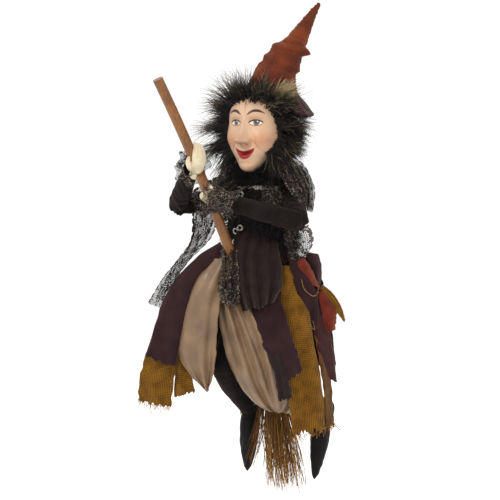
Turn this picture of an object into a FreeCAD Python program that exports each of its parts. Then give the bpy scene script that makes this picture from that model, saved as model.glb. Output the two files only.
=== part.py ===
import FreeCAD, Part
import os
import Sketcher
from math import atan2, cos, degrees, pi, radians, sin, sqrt
from FreeCAD import Placement, Rotation, Vector

# A soft witch figure that hangs by an eye at her back and holds a broomstick in both fists.
# She faces -Y, her left hand side is +X, and +Z is up. The eye's centre is the origin.
# The points below are written from her own centre line, and every finished piece is moved by
# the eye's offset at the end.

doc = FreeCAD.newDocument("hanging_witch")
sheet = doc.addObject("Spreadsheet::Sheet", "Sizes")

DRIVING_SIZES = {
    "eye_back": 50, "eye_down": 16, "eye_bore": 4, "eye_outer": 7, "eye_thick": 3, "shank_radius": 2,
    "case_half": 28, "case_depth": 23, "case_top": -8, "case_bottom": -98, "wall": 2,
    "bush_outer": 5, "bush_bore": 3.05, "neck_radius": 3,
    "gear_module": 0.8, "gear_teeth": 36, "pinion_teeth": 12, "gear_thick": 5,
    "motor_radius": 6, "motor_half_flat": 5, "output_radius": 1.5,
    "cell_radius": 7.25, "cell_length": 50, "screw_radius": 1.25, "screw_head": 2.4,
    "axle_radius": 2.5, "hip_pin": 2, "bore_clear": 0.05,
    "shoulder_out": 40, "shoulder_down": 25, "hip_out": 24, "hip_down": 135,
    "wire_radius": 1.5, "sleeve_shoulder": 14, "sleeve_elbow": 13, "sleeve_wrist": 10.5,
    "dowel_radius": 4, "hub_radius": 6.3, "hub_wide": 8.5, "fork_radius": 7.3, "fork_wide": 15,
    "slot_wide": 9.1, "slot_reach": 9, "thigh_pad": 13, "knee_pad": 11, "shin_pad": 10.5, "ankle_pad": 9,
    "stick_radius": 6, "grip_clear": 0.5, "spine_radius": 4, "panel_thick": 3, "plate_thick": 2,
}
for row, (word, value) in enumerate(DRIVING_SIZES.items(), start=1):
    sheet.set("A%d" % row, word)
    sheet.set("B%d" % row, str(value))
    sheet.setAlias("B%d" % row, word)
doc.recompute()


def size(word):
    return float(sheet.get(word))


SIDE, FRONT, UP = Vector(1, 0, 0), Vector(0, -1, 0), Vector(0, 0, 1)
PITCH_RADIUS = size("gear_module") * size("gear_teeth") / 2
PINION_OFFSET = size("gear_module") * (size("gear_teeth") + size("pinion_teeth")) / 2
GEAR_LOW = -30.0
PLATE_TOP = -32.5

# joints of the skeleton
SHOULDER = {"right": Vector(-size("shoulder_out"), 0, -size("shoulder_down")),
            "left": Vector(size("shoulder_out"), 0, -size("shoulder_down"))}
ELBOW = {"right": Vector(-96, -37.5, -37), "left": Vector(79, -51, -52)}
GRIP = {"right": Vector(-31.4, -103.2, 20), "left": Vector(-22.5, -82.1, -25)}
HIP = {"right": Vector(-size("hip_out"), 0, -size("hip_down")),
       "left": Vector(size("hip_out"), 0, -size("hip_down"))}
KNEE = {"right": Vector(-26, -43, -228), "left": Vector(46, -8, -240)}
ANKLE = {"right": Vector(-28, 20, -290), "left": Vector(48.5, 68, -287)}
TOE = {"right": Vector(-29, 15, -359), "left": Vector(40, 60, -370)}
# the stick is one gentle bow through three points
STICK_TOP, STICK_MIDDLE, STICK_END = Vector(-52.9, -148.3, 112), Vector(-14.5, -59.3, -77), Vector(7, 18, -262)
HEAD = Vector(0, -12, 52)

parts = []


# ---- small makers -------------------------------------------------------------------------
def bind(thing, name, value):
    """A number is set, and words are an expression on the sheet."""
    if isinstance(value, str):
        thing.setExpression(name, value)
    else:
        setattr(thing, name, value)


def facing(start, along):
    return Placement(start, Rotation(UP, along))


def rod(name, radius, start, end):
    thing = doc.addObject("Part::Cylinder", name)
    bind(thing, "Radius", radius)
    thing.Height = (end - start).Length
    thing.Placement = facing(start, end - start)
    return thing


def taper(name, first, last, start, end):
    thing = doc.addObject("Part::Cone", name)
    bind(thing, "Radius1", first)
    bind(thing, "Radius2", last)
    thing.Height = (end - start).Length
    thing.Placement = facing(start, end - start)
    return thing


def ball(name, radius, centre):
    thing = doc.addObject("Part::Sphere", name)
    bind(thing, "Radius", radius)
    thing.Placement = Placement(centre, Rotation())
    return thing


def egg(name, centre, across, deep, tall):
    thing = doc.addObject("Part::Ellipsoid", name)
    thing.Radius1, thing.Radius2, thing.Radius3 = tall, across, deep
    thing.Placement = Placement(centre, Rotation())
    return thing


def skull_egg(name, spare=0.0):
    """The head's own egg: two balls one above the other, with spare room round them."""
    crown = ball(name + "_crown", 33 + spare, HEAD + UP * 12)
    cheeks = ball(name + "_cheeks", 31 + spare, HEAD - UP * 11)
    return fuse(name, [crown, cheeks])


def block(name, low, high):
    thing = doc.addObject("Part::Box", name)
    thing.Length, thing.Width, thing.Height = high - low
    thing.Placement = Placement(low, Rotation())
    return thing


def fuse(name, pieces):
    thing = doc.addObject("Part::MultiFuse", name)
    thing.Shapes = pieces
    thing.Refine = False
    return thing


def cut(name, base, tool):
    thing = doc.addObject("Part::Cut", name)
    thing.Base, thing.Tool = base, tool
    thing.Refine = False
    return thing


def common(name, base, tool):
    thing = doc.addObject("Part::Common", name)
    thing.Base, thing.Tool = base, tool
    return thing


def made(name, shape):
    thing = doc.addObject("Part::Feature", name)
    thing.Shape = shape
    return thing


def keep(label, thing):
    """Name a finished piece, and move it from her centre line to the eye's frame."""
    doc.recompute()
    thing.Label = label
    offset = Placement(Vector(0, -size("eye_back"), size("eye_down")), Rotation())
    thing.Placement = offset.multiply(thing.Placement)
    parts.append(thing)


def copy_of(name, thing):
    """A second object with the same shape, for use as a tool in another piece."""
    doc.recompute()
    return made(name, thing.Shape.copy())


# ---- sketched bodies ----------------------------------------------------------------------
def new_body(name):
    return doc.addObject("PartDesign::Body", name)


def sketch_on(body, role, lift=0):
    sketch = body.newObject("Sketcher::SketchObject", body.Name + "_sketch")
    plane = [feature for feature in body.Origin.OriginFeatures if feature.Role == role][0]
    sketch.AttachmentSupport = [(plane, "")]
    sketch.MapMode = "FlatFace"
    sketch.AttachmentOffset = Placement(Vector(0, 0, lift), Rotation())
    return sketch


def evaluate(expression):
    for word in sorted(DRIVING_SIZES, key=len, reverse=True):
        expression = expression.replace("Sizes." + word, repr(size(word)))
    numbers = doc.getObject("reckoner") or doc.addObject("Spreadsheet::Sheet", "reckoner")
    numbers.set("A1", "=" + expression)
    doc.recompute()
    return float(numbers.get("A1"))


def outline(sketch, corners):
    """A closed outline whose corners are pairs of expressions on the sheet."""
    spots = [Vector(evaluate(across), evaluate(up), 0) for across, up in corners]
    first = sketch.GeometryCount
    count = len(spots)
    for index in range(count):
        sketch.addGeometry(Part.LineSegment(spots[index], spots[(index + 1) % count]), False)
    for index in range(count):
        following = first + (index + 1) % count
        sketch.addConstraint(Sketcher.Constraint("Coincident", first + index, 2, following, 1))
    for index, (across, up) in enumerate(corners):
        spot = spots[index]
        for kind, words, value in (("DistanceX", across, spot.x), ("DistanceY", up, spot.y)):
            rule = sketch.addConstraint(Sketcher.Constraint(kind, -1, 1, first + index, 1, value))
            sketch.setExpression("Constraints[%d]" % rule, words)


def rectangle(sketch, low, high):
    outline(sketch, [low, (high[0], low[1]), high, (low[0], high[1])])


def ring(sketch, radius, centre=("0", "0")):
    spot = Vector(evaluate(centre[0]), evaluate(centre[1]), 0)
    item = sketch.addGeometry(Part.Circle(spot, UP, evaluate(radius)), False)
    rules = [("Radius", (item, evaluate(radius)), radius), ("DistanceX", (-1, 1, item, 3, spot.x), centre[0]),
             ("DistanceY", (-1, 1, item, 3, spot.y), centre[1])]
    for kind, values, words in rules:
        rule = sketch.addConstraint(Sketcher.Constraint(kind, *values))
        sketch.setExpression("Constraints[%d]" % rule, words)


def pad(body, sketch, length, reverse=False):
    feature = body.newObject("PartDesign::Pad", body.Name + "_pad")
    feature.Profile = sketch
    bind(feature, "Length", length)
    feature.Reversed = reverse
    doc.recompute()
    return feature


def pocket(body, sketch, length, reverse=False):
    """Cut a pocket, turned round if the first direction removes nothing."""
    before = body.Shape.Volume
    feature = body.newObject("PartDesign::Pocket", body.Name + "_pocket")
    feature.Profile = sketch
    bind(feature, "Length", length)
    feature.Reversed = reverse
    doc.recompute()
    if body.Shape.Volume > before - 0.01:
        feature.Reversed = not reverse
        doc.recompute()
    return feature


def turned(body, corners):
    """A body of revolution about its own Z, from expressions for radius and height."""
    profile = sketch_on(body, "XZ_Plane")
    outline(profile, corners)
    feature = body.newObject("PartDesign::Revolution", body.Name + "_turned")
    feature.Profile = profile
    feature.ReferenceAxis = (profile, ["V_Axis"])
    feature.Angle = 360
    doc.recompute()
    return body


# ---- the drive in the chest ---------------------------------------------------------------
def case_shell(name, front):
    """Half of the case: a tray with a notch for the neck bush and holes for the shoulder pins."""
    body = new_body(name)
    face = sketch_on(body, "XZ_Plane")
    rectangle(face, ("-Sizes.case_half", "Sizes.case_bottom"), ("Sizes.case_half", "Sizes.case_top"))
    pad(body, face, "Sizes.case_depth", reverse=not front)
    hollow = sketch_on(body, "XZ_Plane")
    rectangle(hollow, ("-Sizes.case_half + Sizes.wall", "Sizes.case_bottom + Sizes.wall"),
              ("Sizes.case_half - Sizes.wall", "Sizes.case_top - Sizes.wall"))
    pocket(body, hollow, "Sizes.case_depth - Sizes.wall", reverse=front)
    bush = sketch_on(body, "XY_Plane", size("case_top") + 1)
    ring(bush, "Sizes.bush_outer")
    pocket(body, bush, 5)
    pins = sketch_on(body, "YZ_Plane", -size("case_half") - 1)
    ring(pins, "Sizes.axle_radius", ("0", "-Sizes.shoulder_down"))
    pocket(body, pins, 2 * size("case_half") + 2)
    return body


SCREWS = [Vector(side * 23, 0, height) for side in (-1, 1) for height in (-13.5, -93)]


def screw_holes(name, radius, deep):
    return [rod("%s_%d" % (name, index), radius, spot + Vector(0, deep[0], 0), spot + Vector(0, deep[1], 0))
            for index, spot in enumerate(SCREWS)]


def finish_case():
    """Each tray gets screw bosses, and the rear tray its door, switch and eye openings."""
    depth = size("case_depth")
    front = fuse("front_bossed", [case_shell("front_tray", True)]
                 + screw_holes("front_boss", 2.9, (-depth + 1, 0)))
    keep("case_front", cut("front_drilled", front, fuse("pilot_holes", screw_holes("pilot", "Sizes.screw_radius",
                                                                                (-depth + 3, 1)))))
    rear = fuse("rear_bossed", [case_shell("rear_tray", False)] + screw_holes("rear_boss", 2.9, (0, depth - 1)))
    openings = screw_holes("clearing", "Sizes.screw_radius", (-1, depth + 1))
    openings += screw_holes("sunk_head", "Sizes.screw_head", (depth - 1.5, depth + 1))
    openings.append(block("door_opening", Vector(-25, depth - 3, -87), Vector(3, depth + 1, -38)))
    openings.append(block("switch_slot", Vector(15.2, depth - 3, -77.2), Vector(18.8, depth + 1, -68.8)))
    openings.append(rod("eye_hole", "Sizes.shank_radius", Vector(0, depth - 3, -16), Vector(0, depth + 1, -16)))
    keep("case_rear", cut("rear_drilled", rear, fuse("rear_openings", openings)))


def drive_pieces():
    depth = size("case_depth")
    body = new_body("plate")
    level = sketch_on(body, "XY_Plane", PLATE_TOP)
    rectangle(level, ("-Sizes.case_half + 2.2", "-Sizes.case_depth + 2.2"),
              ("Sizes.case_half - 2.2", "Sizes.case_depth - 2.2"))
    ring(level, "Sizes.bush_outer")
    ring(level, "Sizes.output_radius * 2", ("Sizes.gear_module * (Sizes.gear_teeth + Sizes.pinion_teeth) / 2", "0"))
    pad(body, level, "Sizes.plate_thick", reverse=True)
    keep("bearing_plate", body)

    upper = turned(new_body("upper_bush"), [("Sizes.bush_bore", "-13"), ("Sizes.bush_outer", "-13"),
                                            ("Sizes.bush_outer", "-8"), ("Sizes.bush_outer + 2", "-8"),
                                            ("Sizes.bush_outer + 2", "-6.5"), ("Sizes.bush_bore", "-6.5")])
    lower = turned(new_body("lower_bush"), [("Sizes.bush_bore", "-38"), ("Sizes.bush_outer", "-38"),
                                            ("Sizes.bush_outer", "-32.5"), ("Sizes.bush_outer + 1", "-32.5"),
                                            ("Sizes.bush_outer + 1", "-31"), ("Sizes.bush_bore", "-31")])
    keep("neck_bushes", fuse("bush_pair", [upper, lower]))

    motor_x = PINION_OFFSET
    head = block("gearbox", Vector(motor_x - 6, -5, -43.5), Vector(motor_x + 6, 5, PLATE_TOP - size("plate_thick")))
    keep("gear_head", cut("gearbox_bored", head, rod("output_hole", "Sizes.output_radius + Sizes.bore_clear",
                                                    Vector(motor_x, 0, -40), Vector(motor_x, 0, -30))))
    can = rod("can_round", "Sizes.motor_radius", Vector(motor_x, 0, -58.5), Vector(motor_x, 0, -43.5))
    flats = block("can_flats", Vector(motor_x - 6, -size("motor_half_flat"), -60),
                  Vector(motor_x + 6, size("motor_half_flat"), -40))
    keep("motor_can", common("can_flatted", can, flats))

    cells, contacts = [], []
    for index, across in enumerate((-18.3, -3.4)):
        foot = Vector(across, 12.5, -86)
        cells.append(rod("cell_%d" % index, "Sizes.cell_radius", foot, foot + UP * (size("cell_length") - 2)))
        cells.append(rod("cell_nub_%d" % index, 2.6, foot + UP * 47.5, foot + UP * 49.3))
        contacts.append(block("contact_%d" % index, Vector(across - 4, 8.5, -36.7), Vector(across + 4, 16.5, -36)))
    contacts.append(block("bridge", Vector(-22, 8.5, -86.7), Vector(0.5, 16.5, -86)))
    keep("battery_cells", fuse("cell_pair", cells))

    door = block("door_plate", Vector(-24.8, depth - 2, -86.8), Vector(2.8, depth, -38.2))
    tab = rod("door_screw_hole", "Sizes.screw_radius", Vector(-11, depth - 3, -41), Vector(-11, depth + 1, -41))
    keep("battery_door", cut("door_drilled", door, tab))

    board = block("board_blank", Vector(7, 9.4, -89), Vector(25.5, 11, -64))
    shell = block("switch_shell", Vector(12.5, 11, -79), Vector(21.5, depth - 2, -67))
    keep("control_board", cut("switch_hollow", fuse("board_and_switch", [board, shell]),
                              block("switch_room", Vector(15.2, 15, -77.2), Vector(18.8, depth, -68.8))))
    keep("switch_slider", block("slider_stem", Vector(15.5, 16, -76.9), Vector(18.5, depth + 1.6, -72.3)))

    fittings = contacts
    for index, spot in enumerate(SCREWS):
        fittings.append(rod("screw_%d" % index, "Sizes.screw_radius", spot + Vector(0, -depth + 3.2, 0),
                             spot + Vector(0, depth - 0.4, 0)))
        fittings.append(rod("screw_head_%d" % index, "Sizes.screw_head", spot + Vector(0, depth - 1.5, 0),
                             spot + Vector(0, depth - 0.2, 0)))
    nut = rod("eye_nut_blank", 3.6, Vector(0, depth - 4.5, -16), Vector(0, depth - 2, -16))
    fittings.append(cut("eye_nut", nut, rod("eye_nut_bore", "Sizes.shank_radius", Vector(0, 0, -16),
                                             Vector(0, 30, -16))))
    keep("case_fittings", fuse("fitting_set", fittings))

    shank = rod("shank", "Sizes.shank_radius", Vector(0, depth - 5, -16), Vector(0, size("eye_back") - 6, -16))
    eye = rod("eye_disc", "Sizes.eye_outer", Vector(-size("eye_thick") / 2, size("eye_back"), -16),
              Vector(size("eye_thick") / 2, size("eye_back"), -16))
    bore = rod("eye_bore_tool", "Sizes.eye_bore", Vector(-9, size("eye_back"), -16), Vector(9, size("eye_back"), -16))
    keep("hanging_eye", cut("eye_bored", fuse("eye_blank", [shank, eye]), bore))


def toothed(name, teeth, bore):
    """A straight-sided spur gear: a tooth is a trapezium, thinned a little for backlash."""
    module = size("gear_module")
    pitch, root, tip = module * teeth / 2, module * (teeth / 2 - 1.25), module * (teeth / 2 + 0.95)
    slack = 0.07
    half_root, half_pitch, half_tip = module * 0.98, module * pi / 4 - slack, module * 0.36
    points = []
    for tooth in range(teeth):
        turn = 2 * pi * (tooth + 0.5) / teeth
        for radius, half in ((root, -half_root), (pitch, -half_pitch), (tip, -half_tip),
                             (tip, half_tip), (pitch, half_pitch), (root, half_root)):
            angle = turn + half / radius
            points.append(Vector(radius * cos(angle), radius * sin(angle), 0))
    face = Part.Face(Part.makePolygon(points + points[:1]))
    wheel = made(name + "_blank", face.extrude(UP * size("gear_thick")))
    hole = rod(name + "_hole", bore, Vector(0, 0, -1), Vector(0, 0, size("gear_thick") + 1))
    return cut(name + "_cut", wheel, hole)


def neck_and_pinion():
    wheel = toothed("neck_wheel", int(size("gear_teeth")), "Sizes.neck_radius")
    wheel.Placement = Placement(Vector(0, 0, GEAR_LOW), Rotation(UP, 180 / size("gear_teeth")))
    keep("neck_gear", wheel)
    # the wheel has a tooth on the line of centres, and the pinion a gap there
    pinion = toothed("pinion", int(size("pinion_teeth")), "Sizes.output_radius")
    pinion.Placement = Placement(Vector(PINION_OFFSET, 0, GEAR_LOW), Rotation())
    stem = rod("output_stem", "Sizes.output_radius", Vector(PINION_OFFSET, 0, -39.5),
               Vector(PINION_OFFSET, 0, GEAR_LOW + size("gear_thick") + 1))
    keep("drive_pinion", fuse("pinion_and_shaft", [pinion, stem]))
    keep("neck_shaft", rod("neck_stem", "Sizes.neck_radius", Vector(0, 0, -38), Vector(0, 0, 40)))


# ---- head ---------------------------------------------------------------------------------
def head_pieces():
    skull = skull_egg("skull")
    jaw = ball("jaw", 14, HEAD + Vector(0, -12, -32))
    nose = ball("nose", 7, HEAD + Vector(0, -33, -10))
    throat = rod("throat", 12, Vector(0, 0, -2), Vector(0, 0, 30))
    solid = fuse("head_solid", [skull, jaw, nose, throat])
    keep("head_shell", cut("head_bored", solid, rod("head_hole", "Sizes.neck_radius", Vector(0, 0, -5),
                                                    Vector(0, 0, 40))))

    base, kink, tip = Vector(9, 10, 94), Vector(30, 32, 152), Vector(42, 72, 206)
    lower = taper("hat_lower", 30, 15, base, kink)
    bend = ball("hat_bend", 15, kink)
    upper = taper("hat_upper", 14.5, 2.5, kink, tip)
    hat = fuse("hat_solid", [lower, bend, upper])
    skull_tool = skull_egg("skull_in_hat", 0.1)
    keep("hat_cone", cut("hat_hollowed", hat, skull_tool))

    cone = taper("brim_outer", 56, 27, Vector(8, 12, 80), Vector(8, 12, 97))
    under = taper("brim_under", 56, 27, Vector(8, 12, 76), Vector(8, 12, 93))
    hole = fuse("brim_hole", [under, skull_egg("skull_in_brim", 0.2), copy_of("hat_in_brim", hat),
                              block("brim_front", Vector(-60, -60, 60), Vector(80, -18, 110))])
    brim = cut("brim_cut", cone, hole)
    brim_tool = copy_of("brim_in_fur", brim)
    keep("hat_brim", brim)

    fur = egg("fur_outer", Vector(-1, -2, 68), 58, 42, 50)
    opening = taper("face_opening", 40, 27, Vector(0, -60, 44), Vector(0, -8, 50))
    inner = fuse("fur_inner", [skull_egg("skull_in_fur", 0.3), opening,
                               copy_of("hat_in_fur", hat), brim_tool])
    below = block("below_fur", Vector(-80, -80, 0), Vector(80, 80, 24))
    keep("fur_wig", cut("fur_trimmed", cut("fur_cut", fur, inner), below))


# ---- trunk --------------------------------------------------------------------------------
def oval(name, wide, deep, low, high):
    """An upright solid of oval section, given by its half width, half depth, foot and head."""
    edge = Part.Ellipse(Vector(0, 0, low), wide, deep).toShape()
    return made(name, Part.Face(Part.Wire(edge)).extrude(UP * (high - low)))


def case_room(name):
    half, depth = size("case_half"), size("case_depth")
    return block(name, Vector(-half, -depth, size("case_bottom")), Vector(half, depth, size("case_top")))


def shoulder_room(name, radius):
    return rod(name, radius, Vector(-70, 0, -size("shoulder_down")), Vector(70, 0, -size("shoulder_down")))


def trunk_pieces():
    depth = size("case_depth")
    stuffing = oval("stuffing", 38, 30, -98, -12)
    room = fuse("stuffing_room", [case_room("case_in_stuffing"), shoulder_room("arm_in_stuffing", 20),
                                  block("switch_way", Vector(-26, depth, -88), Vector(22, 60, -36)),
                                  rod("eye_way", 2.2, Vector(0, 0, -16), Vector(0, 80, -16))])
    keep("body_padding", cut("stuffing_cut", stuffing, room))

    coat = oval("coat", 43, 35, -92, -14)
    coat_room = fuse("coat_room", [case_room("case_in_coat"), oval("body_in_coat", 38.2, 30.2, -99, -5), shoulder_room("arm_in_coat", 22.5),
                                   rod("eye_in_coat", 2.2, Vector(0, 0, -16), Vector(0, 80, -16))])
    keep("vest", cut("coat_cut", coat, coat_room))

    collar = doc.addObject("Part::Torus", "collar")
    collar.Radius1, collar.Radius2 = 31, 9
    collar.Placement = Placement(Vector(0, 0, -8), Rotation())
    collar_room = fuse("collar_room", [case_room("case_in_collar"), oval("coat_in_collar", 43.2, 35.2, -99, -11.8),
                                       rod("eye_in_collar", 3, Vector(0, 0, -16), Vector(0, 80, -16)),
                                       shoulder_room("arm_in_collar", 18)])
    keep("fur_collar", cut("collar_cut", collar, collar_room))

    beads = []
    for index, (across, height) in enumerate(((-13, -24), (-8, -18), (-3, -30), (-16, -62), (-9, -58), (-8, -70),
                                              (-17, -75))):
        away = -35 * sqrt(1 - (across / 42) ** 2) - 2.6
        bead = doc.addObject("Part::Torus", "bead_%d" % index)
        bead.Radius1, bead.Radius2 = 3, 1.1
        bead.Placement = Placement(Vector(across, away, height - 4), Rotation(UP, FRONT))
        beads.append(bead)
    keep("bodice_beads", fuse("bead_set", beads))

    spine_low = -144
    spine = fuse("spine_solid", [rod("spine_rod", "Sizes.spine_radius", Vector(0, 0, spine_low + 8),
                                     Vector(0, 0, size("case_bottom"))),
                                 rod("spine_flange", 10, Vector(0, 0, size("case_bottom") - 3),
                                     Vector(0, 0, size("case_bottom")))])
    keep("spine_post", spine)
    pelvis = block("pelvis_blank", Vector(-19, -12, spine_low), Vector(19, 12, -124))
    holes = fuse("pelvis_holes", [rod("spine_hole", "Sizes.spine_radius", Vector(0, 0, spine_low + 8),
                                      Vector(0, 0, -100)),
                                  rod("hip_hole", "Sizes.hip_pin", HIP["right"] - SIDE * 20,
                                      HIP["left"] + SIDE * 20)])
    keep("pelvis_block", cut("pelvis_drilled", pelvis, holes))
    pins = [rod("hip_rod", "Sizes.hip_pin", HIP["right"] - SIDE * 9, HIP["left"] + SIDE * 9)]
    for side, spot in ((-1, HIP["right"]), (1, HIP["left"])):
        pins.append(rod("hip_cap_%s" % ("l" if side > 0 else "r"), "Sizes.dowel_radius", spot + SIDE * (side * 6),
                        spot + SIDE * (side * 8)))
    axle = fuse("hip_solid", pins)
    axle_shape = copy_of("hip_whole", axle)
    spine_bar = rod("spine_in_axle", "Sizes.spine_radius", Vector(0, 0, spine_low + 8), Vector(0, 0, -100))
    keep("hip_axle", cut("hip_cleared", axle_shape, spine_bar))

    bolts = []
    for side in (-1, 1):
        root = SIDE * (side * (size("case_half") - size("wall"))) - UP * size("shoulder_down")
        outward = SIDE * side
        mark = "left" if side > 0 else "right"
        bolts.append(rod("axle_flange_" + mark, 4.5, root - outward * 1.2, root))
        bolts.append(rod("axle_stem_" + mark, "Sizes.axle_radius", root - outward, root + outward * 20))
        bolts.append(rod("axle_cap_" + mark, 4.5, root + outward * 18.5, root + outward * 20))
    keep("shoulder_axles", fuse("axle_pair", bolts))

    yoke = oval("yoke", 49, 32.5, -122, -92.2)
    yoke_room = fuse("yoke_room", [case_room("case_in_yoke"), oval("body_in_yoke", 38.2, 30.2, -99, -80), oval("yoke_inside", 44, 27, -124, -98.1)])
    keep("skirt_yoke", cut("yoke_cut", yoke, yoke_room))


def slab(name, levels, thick=None):
    """A strip of cloth: a solid through level cuts, each the two edge points, with its thickness outwards."""
    thick = thick or size("panel_thick")
    wires = []
    for first, last in levels:
        first, last = Vector(*first), Vector(*last)
        across = last - first
        out = Vector(across.y, -across.x, 0).normalize()
        if out.dot(Vector(first.x + last.x, first.y + last.y, 0)) < 0:
            out = out * -1
        out = out * thick
        wires.append(Part.makePolygon([first, last, last + out, first + out, first]))
    return made(name, Part.makeLoft(wires, True, True))


def torso_cloth():
    keep("lace_shawl", slab("shawl", [((-44, 38, -30), (44, 38, -30)), ((-50, 39, -60), (50, 39, -60)),
                                      ((-44, 41, -95), (44, 41, -95))], 2))
    keep("apron", slab("apron_sheet", [((-25, -62, -94), (28, -66, -94)), ((-25, -64, -118), (30, -68, -118))]))
    felt = slab("back_felt", [((-46, 42, -126), (-3, 46, -126)), ((-48, 52, -180), (-3, 56, -180)),
                              ((-50, 58, -238), (-2, 62, -240))])
    hessian = slab("back_hessian", [((3, 46, -126), (44, 42, -126)), ((3, 56, -180), (46, 52, -180)),
                                    ((4, 62, -240), (48, 58, -238))])
    keep("back_panels", fuse("back_pair", [felt, hessian]))


# ---- arms and broom -----------------------------------------------------------------------
def stick_wire():
    return Part.Wire([Part.Arc(STICK_TOP, STICK_MIDDLE, STICK_END).toShape()])


def stick_pipe(name, radius):
    """A round bar along the stick's bow."""
    spine = stick_wire()
    edge = spine.Edges[0]
    start, along = edge.valueAt(edge.FirstParameter), edge.tangentAt(edge.FirstParameter)
    circle = Part.Wire([Part.Circle(start, along, radius).toShape()])
    return made(name, spine.makePipeShell([circle], True, False))


def limb(name, points, radii):
    """Tapered lengths with a ball at each inner point."""
    pieces = []
    for index in range(len(points) - 1):
        pieces.append(taper("%s_run_%d" % (name, index), radii[index], radii[index + 1], points[index],
                            points[index + 1]))
        if index:
            pieces.append(ball("%s_bend_%d" % (name, index), radii[index], points[index]))
    return pieces


def arm_pieces(side):
    sign = 1 if side == "left" else -1
    shoulder, elbow, grip = SHOULDER[side], ELBOW[side], GRIP[side]
    reach = (grip - elbow).normalize()
    wrist = grip - reach * 27
    wire = limb(side + "_wire", [shoulder + FRONT * 4, shoulder + FRONT * 9, elbow, wrist + reach * 13],
                ["Sizes.wire_radius"] * 4)
    hub = rod(side + "_wire_hub", 4.8, shoulder - SIDE * (sign * 2.5), shoulder + SIDE * (sign * 2.5))
    eye = rod(side + "_wire_eye", "Sizes.axle_radius + Sizes.bore_clear", shoulder - SIDE * 10, shoulder + SIDE * 10)
    armature = cut(side + "_armature", fuse(side + "_wire_set", wire + [hub]), eye)
    armature_shape = copy_of(side + "_armature_tool", armature)
    keep(side + "_arm_wire", armature)

    radii = ["Sizes.sleeve_shoulder", "Sizes.sleeve_elbow", "Sizes.sleeve_wrist"]
    sleeve = fuse(side + "_sleeve_set", limb(side + "_sleeve", [shoulder, elbow, wrist], radii)
                  + [ball(side + "_cap", "Sizes.sleeve_shoulder", shoulder)])
    inner = block(side + "_inner", Vector(-37.6, -60, -60), Vector(37.6, 60, 20))
    well = rod(side + "_well", 6.5, shoulder - SIDE * (sign * 20), shoulder + SIDE * (sign * 10))
    room = fuse(side + "_sleeve_room", [inner, well, armature_shape])
    keep(side + "_sleeve", cut(side + "_sleeve_cut", sleeve, room))

    slack = 0 if side == "right" else size("grip_clear")
    fist = egg(side + "_fist", Vector(), 13, 14.5, 19)
    fist.Placement = Placement(grip - reach * 4, Rotation(UP, Vector(-0.28, -0.5, 1)))
    palm = taper(side + "_palm", 8.5, 9.5, wrist + reach * 0.2, grip - reach * 8)
    hand = fuse(side + "_hand_set", [fist, palm])
    tools = fuse(side + "_hand_room", [stick_pipe(side + "_hand_hole", size("stick_radius") + slack),
                                       copy_of(side + "_wire_in_hand", armature_shape)])
    keep(side + "_hand", cut(side + "_hand_cut", hand, tools))


def broom_pieces():
    keep("broomstick", stick_pipe("stick", size("stick_radius")))
    levels = [(Vector(6, 12, -240), 12, 12), (Vector(7, 19, -264), 14, 14), (Vector(6, 32, -312), 16, 20),
              (Vector(4, 52, -392), 19, 30)]
    wires = []
    for centre, wide, deep in levels:
        oval = Part.Ellipse(Vector(), max(wide, deep), min(wide, deep) - 0.01).toShape()
        oval.rotate(Vector(), UP, 90)
        oval.translate(centre)
        wires.append(Part.Wire(oval))
    bundle = made("bundle", Part.makeLoft(wires, True, True))
    keep("broom_twigs", cut("bundle_bored", bundle, stick_pipe("stick_in_bundle", size("stick_radius"))))
    along = Vector(1, 7, -24).normalize()
    band = rod("band", 17, Vector(6.4, 15, -250), Vector(6.4, 15, -250) + along * 9)
    keep("broom_binding", cut("band_cut", band, copy_of("bundle_in_band", bundle)))
    tail_levels = [((-70, -50, -55), (-46, -40, -57)), ((-104, -58, -104), (-76, -46, -104)),
                   ((-122, -64, -146), (-104, -52, -152))]
    tail = slab("tail", tail_levels, 2)
    keep("shawl_tail", cut("tail_cut", tail, copy_of("sleeve_in_tail", limb_tool("right"))))


def limb_tool(side):
    shoulder, elbow = SHOULDER[side], ELBOW[side]
    wrist = GRIP[side] - (GRIP[side] - elbow).normalize() * 27
    return fuse(side + "_limb_tool", limb(side + "_limb_tool", [shoulder, elbow, wrist],
                                          ["Sizes.sleeve_shoulder", "Sizes.sleeve_elbow", "Sizes.sleeve_wrist"]))


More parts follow.
